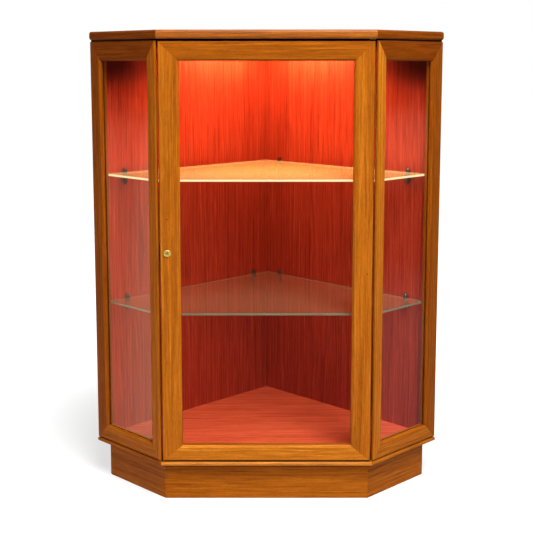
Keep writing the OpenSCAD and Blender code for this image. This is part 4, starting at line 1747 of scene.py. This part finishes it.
@dataclass
class Door:
    """The glazed door: two stiles, two rails, its pane and the beads behind it."""

    finishes: Finishes
    tones_and_shading: dict[str, float]
    knots: tuple[tuple[str, Pair, float], ...] = (
        ("left_stile", (-0.216, 0.640), 0.0017),
        ("right_stile", (0.2200, 0.519), 0.0018),
    )
    seed: float = 21.7
    seed_step: float = 4.3
    rounding: float = 0.0007
    foot_rounding: float = 0.0010
    gap_shade_reach: Pair = (0.0008, 0.0022)
    bead_tone: float = 0.85
    bead_seed: float = 41.1
    bead_seed_step: float = 1.9
    bead_rounding: float = 0.0005

    def build(self) -> None:
        """Makes the members, the beads and the pane."""
        # painted shade along the stiles' outer edges, which darkens the gaps beside the door
        edge = Seam("X", PLAN.door_half, *self.gap_shade_reach)
        # painted shadow line along the bottom rail's foot
        foot = foot_shade_line(PLAN.case_z + PLAN.door_gap)
        members = (
            ("left_stile", Grain.UPRIGHT, edge, 0.0),
            ("right_stile", Grain.UPRIGHT, edge, 0.0),
            ("top_rail", Grain.ACROSS, None, 0.0),
            ("bottom_rail", Grain.ACROSS, foot, self.foot_rounding),
        )
        for k, (part, grain, seam, foot_rounding) in enumerate(members):
            seed = self.seed + self.seed_step * k
            wood = teak(f"door_{part}", grain, seed, self.tones_and_shading[part], self.knots_of(part), seam=seam)
            board(f"door_{part}", DOOR, self.slot(grain), wood, self.rounding, grain.axis, foot_rounding)
        upright, across = Grain.UPRIGHT, Grain.ACROSS
        beads = (("left", upright), ("right", upright), ("top", across), ("bottom", across))
        for k, (part, grain) in enumerate(beads):
            wood = teak(f"bead_{part}", grain, self.bead_seed + self.bead_seed_step * k, self.bead_tone)
            board(f"door_bead_{part}", DOOR, self.slot(grain), wood, self.bead_rounding, grain.axis)
        paint("door_pane", self.finishes.pane)

    def knots_of(self, part: str) -> tuple[Knot, ...]:
        """The knots in the face of one member."""
        found = [(at, radius) for member, at, radius in self.knots if member == part]
        return tuple(Knot(tuple(PLAN.case(x, PLAN.door_front, z)), radius) for (x, z), radius in found)

    @staticmethod
    def slot(grain: Grain) -> str:
        """The record's slot for teak whose grain runs that way."""
        return "teak_upright" if grain is Grain.UPRIGHT else "teak_level"


@dataclass
class Pivots:
    """The pins, bushes and washer that the door turns on."""

    finishes: Finishes
    x: float = 0.226
    y: float = 0.004
    pin_r: float = 0.003
    foot: Pair = (0.086, 0.1135)
    head: Pair = (1.0015, 1.035)
    nose: float = 0.0006
    facets: int = 40
    bush_rounding: float = 0.0002
    washer_rounding: float = 0.0001

    def build(self) -> None:
        """Makes the pins, the bushes and the washer."""
        for word, (low, high) in (("bottom", self.foot), ("top", self.head)):
            node = f"pivot_pin_{word}"
            section = [
                (0.0, low), (self.pin_r - self.nose, low), (self.pin_r, low + self.nose),
                (self.pin_r, high - self.nose), (self.pin_r - self.nose, high), (0.0, high),
            ]
            pin = turned(section, PLAN.case(self.x, self.y, 0.0), UP, self.facets)
            place(as_object(pin, f"{node}_turned", self.finishes.black_steel), DOOR, "steel", node)
            board(f"pivot_bush_{word}", CABINET, "brass", self.finishes.brass, self.bush_rounding)
        board("pivot_washer", CABINET, "nylon", self.finishes.dark_nylon, self.washer_rounding)


@dataclass
class Lock:
    """The brass cam lock in the door's left stile and the keeper that it catches."""

    finishes: Finishes
    x: float = -0.216
    z: float = 0.565
    face_r: float = 0.00775
    face_t: float = 0.0024
    face_round: float = 0.0011
    rim: float = 0.0016
    dish: Pair = (0.0021, 0.00012)
    mouth: tuple[Pair, ...] = ((0.0, 0.0007), (0.0002, 0.0004), (0.0005, 0.0003))
    seat_round: float = 0.0001
    barrel_r: float = 0.006
    barrel_len: float = 0.0228
    barrel_nose: float = 0.0004
    bore_r: float = 0.00385
    facets: int = 96
    plug_rounding: float = 0.00018
    keeper_rounding: float = 0.0002
    rounding: float = 0.0003
    screw_rounding: float = 0.0004
    keeper_at: Pair = (-0.240079, 0.028656)
    keeper_pitch: float = 0.018
    keeper_screws: CrossScrews = CrossScrews(
        head_r=0.0024, head_h=0.0014, shank_r=0.0012, length=0.0055, countersunk=False
    )

    def build(self) -> None:
        """Makes the barrel, plug, nut, cam and keeper."""
        finishes = self.finishes
        self.barrel()
        board("lock_plug", PLUG, "brass", finishes.darker_brass, self.plug_rounding)
        board("lock_nut", DOOR, "brass", finishes.brass, self.rounding)
        board("lock_cam", PLUG, "steel", finishes.steel, self.rounding)
        board("lock_cam_screw", PLUG, "steel", finishes.steel, self.screw_rounding)
        board("lock_keeper", CABINET, "brass", finishes.brass, self.keeper_rounding)
        way = Vector((-1.0 / ROOT2, -1.0 / ROOT2, 0.0))
        heights = (self.z - self.keeper_pitch / 2.0, self.z + self.keeper_pitch / 2.0)
        spots = [(PLAN.case(*self.keeper_at, z), way) for z in heights]
        screws = self.keeper_screws.build("keeper_screws_set", spots, finishes.brass)
        place(screws, CABINET, "brass", "keeper_screws")

    def barrel(self) -> None:
        """Makes the barrel with its rounded, slightly dished face."""
        r, t, turn_r = self.face_r, self.face_t, self.face_round
        dish_at, dish_depth = self.dish
        section = [
            *((self.bore_r + out, depth - t) for out, depth in self.mouth),
            (r - dish_at, dish_depth - t), (r - self.rim, -t),
            *arc((r - turn_r, turn_r - t), turn_r, -90.0, 0.0, 7),
            (r, -self.seat_round), (r - self.seat_round, 0.0),
            (self.barrel_r, 0.0), (self.barrel_r, self.barrel_len - self.barrel_nose),
            (self.barrel_r - self.barrel_nose, self.barrel_len), (self.bore_r, self.barrel_len),
        ]
        at = PLAN.case(self.x, PLAN.door_front, self.z)
        barrel = turned(section, at, Vector((0.0, 1.0, 0.0)), self.facets)
        made = as_object(barrel, "lock_barrel_turned", self.finishes.bright_brass)
        place(made, DOOR, "brass", "lock_barrel")


@dataclass
class Shelves:
    """The two glass shelves and their cast supports."""

    finishes: Finishes
    upper_z: float = 0.7235
    lower_z: float = 0.4245
    glass_t: float = 0.005
    rounding: float = 0.0005
    outer: float = 0.0725
    inner_gap: float = 0.053
    # painted glow on the front edges: 0.95 on the upper shelf, 0.06 on the lower
    upper_finish: ShelfFinish = ShelfFinish("shelf_glass_upper", 0.024, 0.95, painted_glow_colour=(1.0, 0.76, 0.40))
    lower_finish: ShelfFinish = ShelfFinish(
        "shelf_glass_lower", 0.024, 0.06,
        dust_and_sheen_colour=(0.98, 0.44, 0.24), edge_colour=(0.16, 0.15, 0.09), shade=0.82,
    )

    def build(self) -> None:
        """Makes the shelves and the supports of each; the upper one has a single support on the left."""
        inner = PLAN.wall_len - PLAN.inner_back - self.inner_gap
        for word, z, glass, left in (
            ("upper", self.upper_z, self.upper_finish, (self.outer,)),
            ("lower", self.lower_z, self.lower_finish, (self.outer, inner)),
        ):
            board(f"{word}_shelf", CABINET, "glass", glass.material(), self.rounding)
            seat = z - self.glass_t
            spots = [
                (PLAN.wall(along, PLAN.inner_back, seat, side), PLAN.into_case(side))
                for side, places in ((Side.RIGHT, (self.outer, inner)), (Side.LEFT, left))
                for along in places
            ]
            made = ShelfSupports().build(f"{word}_shelf_supports_set", spots, self.finishes.bronze)
            place(made, CABINET, "dark_metal", f"{word}_shelf_supports")


@dataclass
class Lamp:
    """The ceiling lamp: enamelled housing, opal lens, bulb, holder and screws."""

    finishes: Finishes
    z: float = 0.991
    radius: float = 0.035
    height: float = 0.018
    wall: float = 0.002
    lip: float = 0.0015
    lip_chamfer: float = 0.0003
    mouth_round: float = 0.0006
    top_round: float = 0.0025
    facets: int = 96
    lens_t: float = 0.003
    lens_clear: float = 0.0001
    lens_round: float = 0.0006
    lens_dome: Pair = (0.00006, 0.00025)
    holder_rounding: float = 0.0004
    bulb_strength: float = 6.0
    screws: CrossScrews = CrossScrews(
        head_r=0.004, head_h=0.0015, shank_r=0.002, length=0.010, countersunk=False
    )
    screw_r: float = 0.021
    screw_turns: Pair = (45.0, 225.0)

    def build(self) -> None:
        """Makes the lamp and its light."""
        at = PLAN.case(0.0, PLAN.lamp_y, self.z)
        self.housing(at)
        self.lens(at)
        board("lamp_holder", CABINET, "nylon", self.finishes.nylon, self.holder_rounding)
        paint("lamp_bulb", GlowFinish("lit_bulb", strength=self.bulb_strength).material())
        head = at + UP * (self.height - self.wall)
        spots = [
            (head + self.screw_r * Vector((math.cos(a), math.sin(a), 0.0)), UP)
            for a in map(math.radians, self.screw_turns)
        ]
        screws = self.screws.build("lamp_screws_set", spots, self.finishes.steel)
        place(screws, CABINET, "steel", "lamp_screws")
        LampLight(self.z).build()

    @property
    def seat(self) -> float:
        """The radius that the lens sits in."""
        return self.radius - self.lip

    def housing(self, at: Vector) -> None:
        """Makes the housing: a cup that hangs with its mouth down.

        Args:
            at: The middle of its mouth.
        """
        r, h, seat, curve = self.radius, self.height, self.seat, self.mouth_round
        inner = r - 2.0 * self.wall
        outside = [
            (seat, self.lip_chamfer), (seat + self.lip_chamfer, 0.0),
            *arc((r - curve, curve), curve, -90.0, 0.0, 3),
            *arc((r - self.top_round, h - self.top_round), self.top_round, 0.0, 90.0, 5), (0.0, h),
        ]
        inside = [(0.0, h - self.wall), (inner, h - self.wall), (inner, self.lens_t), (seat, self.lens_t)]
        cup = turned([*inside, *outside], at, UP, self.facets)
        made = as_object(cup, "lamp_housing_turned", self.finishes.enamel)
        place(made, CABINET, "lamp_white", "lamp_housing")

    def lens(self, at: Vector) -> None:
        """Makes the opal lens, slightly domed.

        Args:
            at: The middle of the housing's mouth.
        """
        lens_r = self.seat - self.lens_clear
        middle, rim = self.lens_dome
        section = [
            (0.0, 0.0), (lens_r * 0.5, middle),
            *arc((lens_r - self.lens_round, rim + self.lens_round), self.lens_round, -90.0, 0.0, 4),
            (lens_r, self.lens_t), (0.0, self.lens_t),
        ]
        glow = GlowFinish("lit_opal_glass").material()
        lens = turned(section, at, UP, self.facets)
        place(as_object(lens, "lamp_lens_turned", glow), CABINET, "lamp_glow", "lamp_lens")


@dataclass(frozen=True)
class LampLight:
    """The light that the lamp gives: pools downwards, washes on the walls and the upper shelf's return."""

    mouth_z: float
    colour: Colour = (1.0, 0.66, 0.34)
    drop: float = 0.002
    pool_power: float = 1.25
    pool_size: Pair = (0.24, 0.24)
    spread_power: float = 2.1
    spread_size: Pair = (0.40, 0.14)
    spread_y: float = 0.20
    spread_angle: float = 152.0
    wash_power: float = 0.7
    wash_size: Pair = (0.24, 0.010)
    wash_out: float = 0.06
    wash_along: float = 0.18
    wash_drop: float = 0.001
    lift_power: float = 0.22
    lift_size: Pair = (0.36, 0.08)
    lift_along: float = 0.21
    lift_out: float = 0.075
    lift_z: float = 0.731

    def build(self) -> None:
        """Adds the six lights."""
        z = self.mouth_z - self.drop
        diagonal = Vector((1.0, 1.0, 0.0)).normalized()
        across = Vector((1.0, 0.0, 0.0))
        spot = PLAN.case(0.0, PLAN.lamp_y, z)
        self.glow("lamp_pool", self.pool_power, self.pool_size, spot, DOWN, diagonal)
        spot = PLAN.case(0.0, self.spread_y, z)
        self.glow("lamp_spread", self.spread_power, self.spread_size, spot, DOWN, across, self.spread_angle)
        start = PLAN.wall_len - PLAN.inner_back - self.wash_along
        for side in Side:
            way = -PLAN.into_case(side)
            level = way.cross(DOWN)
            spot = PLAN.wall(start, PLAN.inner_back + self.wash_out, self.mouth_z - self.wash_drop, side)
            self.glow(f"lamp_wash_{side.word}", self.wash_power, self.wash_size, spot, way, level)
            spot = PLAN.wall(self.lift_along, PLAN.inner_back + self.lift_out, self.lift_z, side)
            self.glow(f"shelf_lift_{side.word}", self.lift_power, self.lift_size, spot, UP, level)

    def glow(
        self,
        name: str,
        power: float,
        size: Pair,
        at: Vector,
        way: Vector,
        long_way: Vector,
        angle: float = 180.0,
    ) -> None:
        """Adds one unseen warm light.

        Args:
            name: Its name.
            power: Its power in watts.
            size: Its length and its breadth.
            at: Its middle.
            way: The way that it shines.
            long_way: The way that its length runs.
            angle: How wide it shines, in degrees.
        """
        data = bpy.data.lights.new(name, "AREA")
        data.shape = "RECTANGLE"
        data.size, data.size_y = size
        data.energy = power
        data.color = self.colour
        data.spread = math.radians(angle)
        made = bpy.data.objects.new(name, data)
        back = -way
        turn = Matrix((long_way, back.cross(long_way), back)).transposed()
        made.matrix_world = Matrix.Translation(at) @ turn.to_4x4()
        made.visible_camera = False
        made.visible_glossy = False
        bpy.context.scene.collection.objects.link(made)


# ---------------------------------------------------------------- studio


@dataclass(frozen=True)
class SoftLight:
    """A round soft light: its power in watts, its place, what it points at and its diameter."""

    name: str
    power: float
    at: Point
    to: Point
    size: float

    def build(self) -> None:
        """Adds the light, unseen by the camera."""
        data = bpy.data.lights.new(self.name, "AREA")
        data.shape = "DISK"
        data.size = self.size
        data.energy = self.power
        made = bpy.data.objects.new(self.name, data)
        made.location = self.at
        made.rotation_euler = (Vector(self.to) - Vector(self.at)).to_track_quat("-Z", "Y").to_euler()
        made.visible_camera = False
        bpy.context.scene.collection.objects.link(made)


@dataclass(frozen=True)
class StudioFloor:
    """The plain pale floor, which keeps the cabinet's shadow and is mirrored in its glass.

    Each range is a pair of distances, or of directions, between which one value turns into the next.
    """

    half_size: float = 30.0
    bounce: float = 0.80
    seen: float = 0.42
    lift: float = 0.65
    lift_range: Pair = (0.40, 1.1)
    glow: Colour = (1.0, 0.64, 0.44)
    glow_range: Pair = (3.0, 6.0)
    slant: float = 0.11
    left: Pair = (2.75, 1.2)
    left_range: Pair = (-0.29, -0.12)
    left_fade: Pair = (1.0, 0.1)
    left_fade_range: Pair = (4.0, 24.0)
    right: Pair = (0.42, 0.05)
    right_range: Pair = (1.7, 3.4)
    distant: Pair = (0.0, 0.9)
    distant_range: Pair = (5.0, 10.0)
    distant_fade: Pair = (1.0, 0.06)
    distant_fade_range: Pair = (11.0, 27.0)
    ahead: Pair = (0.11, 0.012)
    ahead_range: Pair = (1.8, 3.6)
    turn_range: Pair = (-0.7, 0.7)
    open_range: Pair = (-0.85, -0.45)

    def build(self) -> None:
        """Makes the floor."""
        bm = bmesh.new()
        bmesh.ops.create_grid(bm, x_segments=1, y_segments=1, size=self.half_size)
        mesh = bpy.data.meshes.new("studio_floor")
        bm.to_mesh(mesh)
        bm.free()
        s = Shader("studio_floor")
        path = s.add("ShaderNodeLightPath").outputs
        mirrored = s.sum("MAXIMUM", path["Is Glossy Ray"], path["Is Transmission Ray"])
        spot = s.place()
        far = s.distance(spot)
        surface = s.blend(mirrored, self.straight(s, path["Is Camera Ray"], far), self.in_glass(s, spot, far))
        mesh.materials.append(s.end(surface))
        made = bpy.data.objects.new("studio_floor", mesh)
        bpy.context.scene.collection.objects.link(made)

    def straight(
        self,
        s: Shader,
        camera: bpy.types.NodeSocket,
        far: bpy.types.NodeSocket,
    ) -> bpy.types.NodeSocket:
        """The floor as it is seen straight, lifted to white away from the cabinet.

        Args:
            s: The material.
            camera: Whether the camera sees it.
            far: The distance from the cabinet.

        Returns:
            The surface.
        """
        plain = s.coat("BsdfDiffuse", Color=s.mix(camera, (self.bounce,) * 3, (self.seen,) * 3))
        level = s.spread(far, *self.lift_range, self.lift, 1.0)
        lifted = s.coat("Emission", Strength=s.sum("MULTIPLY", camera, level))
        return s.add("ShaderNodeAddShader", {0: plain, 1: lifted}).outputs[0]

    def in_glass(
        self,
        s: Shader,
        spot: bpy.types.NodeSocket,
        far: bpy.types.NodeSocket,
    ) -> bpy.types.NodeSocket:
        """The floor as the panes and the shelves mirror it: bright on the left and dim ahead.

        Args:
            s: The material.
            spot: The place on the floor.
            far: The distance from the cabinet.

        Returns:
            The surface.
        """
        parts = s.parts(spot)
        front = s.sum("MULTIPLY_ADD", parts["X"], self.slant, parts["Y"])
        near_left = s.spread(front, *self.left_range, *self.left)
        left = s.sum("MULTIPLY", near_left, s.spread(far, *self.left_fade_range, *self.left_fade))
        far_right = s.spread(far, *self.distant_range, *self.distant)
        distant = s.sum("MULTIPLY", far_right, s.spread(far, *self.distant_fade_range, *self.distant_fade))
        right = s.sum("MAXIMUM", s.spread(far, *self.right_range, *self.right), distant)
        turn = s.spread(s.sum("DIVIDE", parts["X"], far), *self.turn_range)
        open_side = s.spread(s.sum("DIVIDE", parts["Y"], far), *self.open_range)
        ahead = s.spread(far, *self.ahead_range, *self.ahead)
        shown = s.between(open_side, ahead, s.between(turn, left, right))
        plain = s.sum("MULTIPLY", turn, s.spread(far, *self.glow_range, 1.0, 0.0))
        return s.coat("Emission", Color=s.mix(plain, self.glow, WHITE), Strength=shown)


@dataclass(frozen=True)
class Surroundings:
    """What is round the cabinet: white to the camera, dim in the glass and bright behind it."""

    ambient: float = 0.09
    across: tuple[Pair, ...] = (
        (0.0, 0.015), (0.12, 0.015), (0.34, 0.010), (0.66, 0.010), (0.88, 0.015), (1.0, 0.015),
    )
    behind: float = 0.9
    behind_range: Pair = (0.25, 0.7)

    def build(self) -> None:
        """Makes the surroundings."""
        s = Shader("studio", world=True)
        path = s.add("ShaderNodeLightPath").outputs
        way = s.parts(s.add("ShaderNodeTexCoord").outputs["Generated"])
        turn = s.add("ShaderNodeMapRange", {"Value": way["X"], "From Min": -1.0}).outputs[0]
        sides = s.ramp(turn, [(place, (level,) * 3) for place, level in self.across])
        start, full = self.behind_range
        reach = {"Value": way["Y"], "From Min": start, "From Max": full}
        rear = s.add("ShaderNodeMapRange", reach).outputs[0]
        round_about = s.coat("Background", Color=s.mix(rear, sides, (self.behind,) * 3), Strength=1.0)
        light = s.coat("Background", Color=WHITE, Strength=self.ambient)
        white = s.coat("Background", Color=WHITE, Strength=1.0)
        mirrored = s.sum("MAXIMUM", path["Is Glossy Ray"], path["Is Transmission Ray"])
        unseen = s.blend(mirrored, light, round_about)
        bpy.context.scene.world = s.end(s.blend(path["Is Camera Ray"], unseen, white))


@dataclass
class Studio:
    """The camera, the floor, the surroundings and the soft lights."""

    camera_at: Point = (0.0, -2.580574, 0.9735)
    camera_down: float = 7.913
    lens: float = 72.476
    sensor: float = 36.0
    shift: float = -0.10
    lights: tuple[SoftLight, ...] = (
        SoftLight("key_light", 270.0, (0.84, -2.58, 4.0), (0.0, 0.0, 0.55), 2.2),
        SoftLight("fill_light", 3.0, (-2.4, -2.2, 1.7), (0.0, 0.0, 0.60), 1.6),
        SoftLight("rear_light", 18.0, (-0.6, 3.0, 2.4), (0.0, 0.0, 0.60), 1.8),
    )

    def build(self) -> None:
        """Sets up everything round the cabinet."""
        self.camera()
        StudioFloor().build()
        Surroundings().build()
        for light in self.lights:
            light.build()
        bpy.context.scene.view_settings.view_transform = "Standard"

    def camera(self) -> None:
        """Makes the camera at the chosen viewing angle."""
        data = bpy.data.cameras.new("camera")
        data.lens = self.lens
        data.sensor_width = self.sensor
        data.shift_y = self.shift
        made = bpy.data.objects.new("camera", data)
        made.location = self.camera_at
        made.rotation_euler = (math.radians(90.0 - self.camera_down), 0.0, 0.0)
        bpy.context.scene.collection.objects.link(made)
        bpy.context.scene.camera = made


def main() -> None:
    """Builds the cabinet's sub-assemblies in order, then the studio."""
    logging.basicConfig(level=logging.INFO, format="%(name)s: %(message)s")
    finishes = Finishes()
    parts = (
        Top(finishes),
        Base(finishes),
        Back(finishes),
        # the frames' tones are partly their own and partly painted shade: the rear stiles, the top rails
        # under the top and the left frame, away from the light, are darker
        SideFrame(
            finishes, Side.LEFT,
            {"front_stile": 0.85, "rear_stile": 0.56, "top_rail": 0.42, "bottom_rail": 0.75}, seed=51.0,
        ),
        SideFrame(
            finishes, Side.RIGHT,
            {"front_stile": 1.04, "rear_stile": 0.57, "top_rail": 0.45, "bottom_rail": 0.83}, seed=73.0,
        ),
        # the door's tones are partly its own and partly painted light and shade: its top rail, under the top,
        # is darker and its bottom rail lighter
        Door(finishes, {"left_stile": 0.945, "right_stile": 0.91, "top_rail": 0.76, "bottom_rail": 1.16}),
        Pivots(finishes),
        Lock(finishes),
        Shelves(finishes),
        Lamp(finishes),
        Studio(),
    )
    for part in parts:
        log.info("building %s", type(part).__name__)
        part.build()


if __name__ == "__main__":
    main()
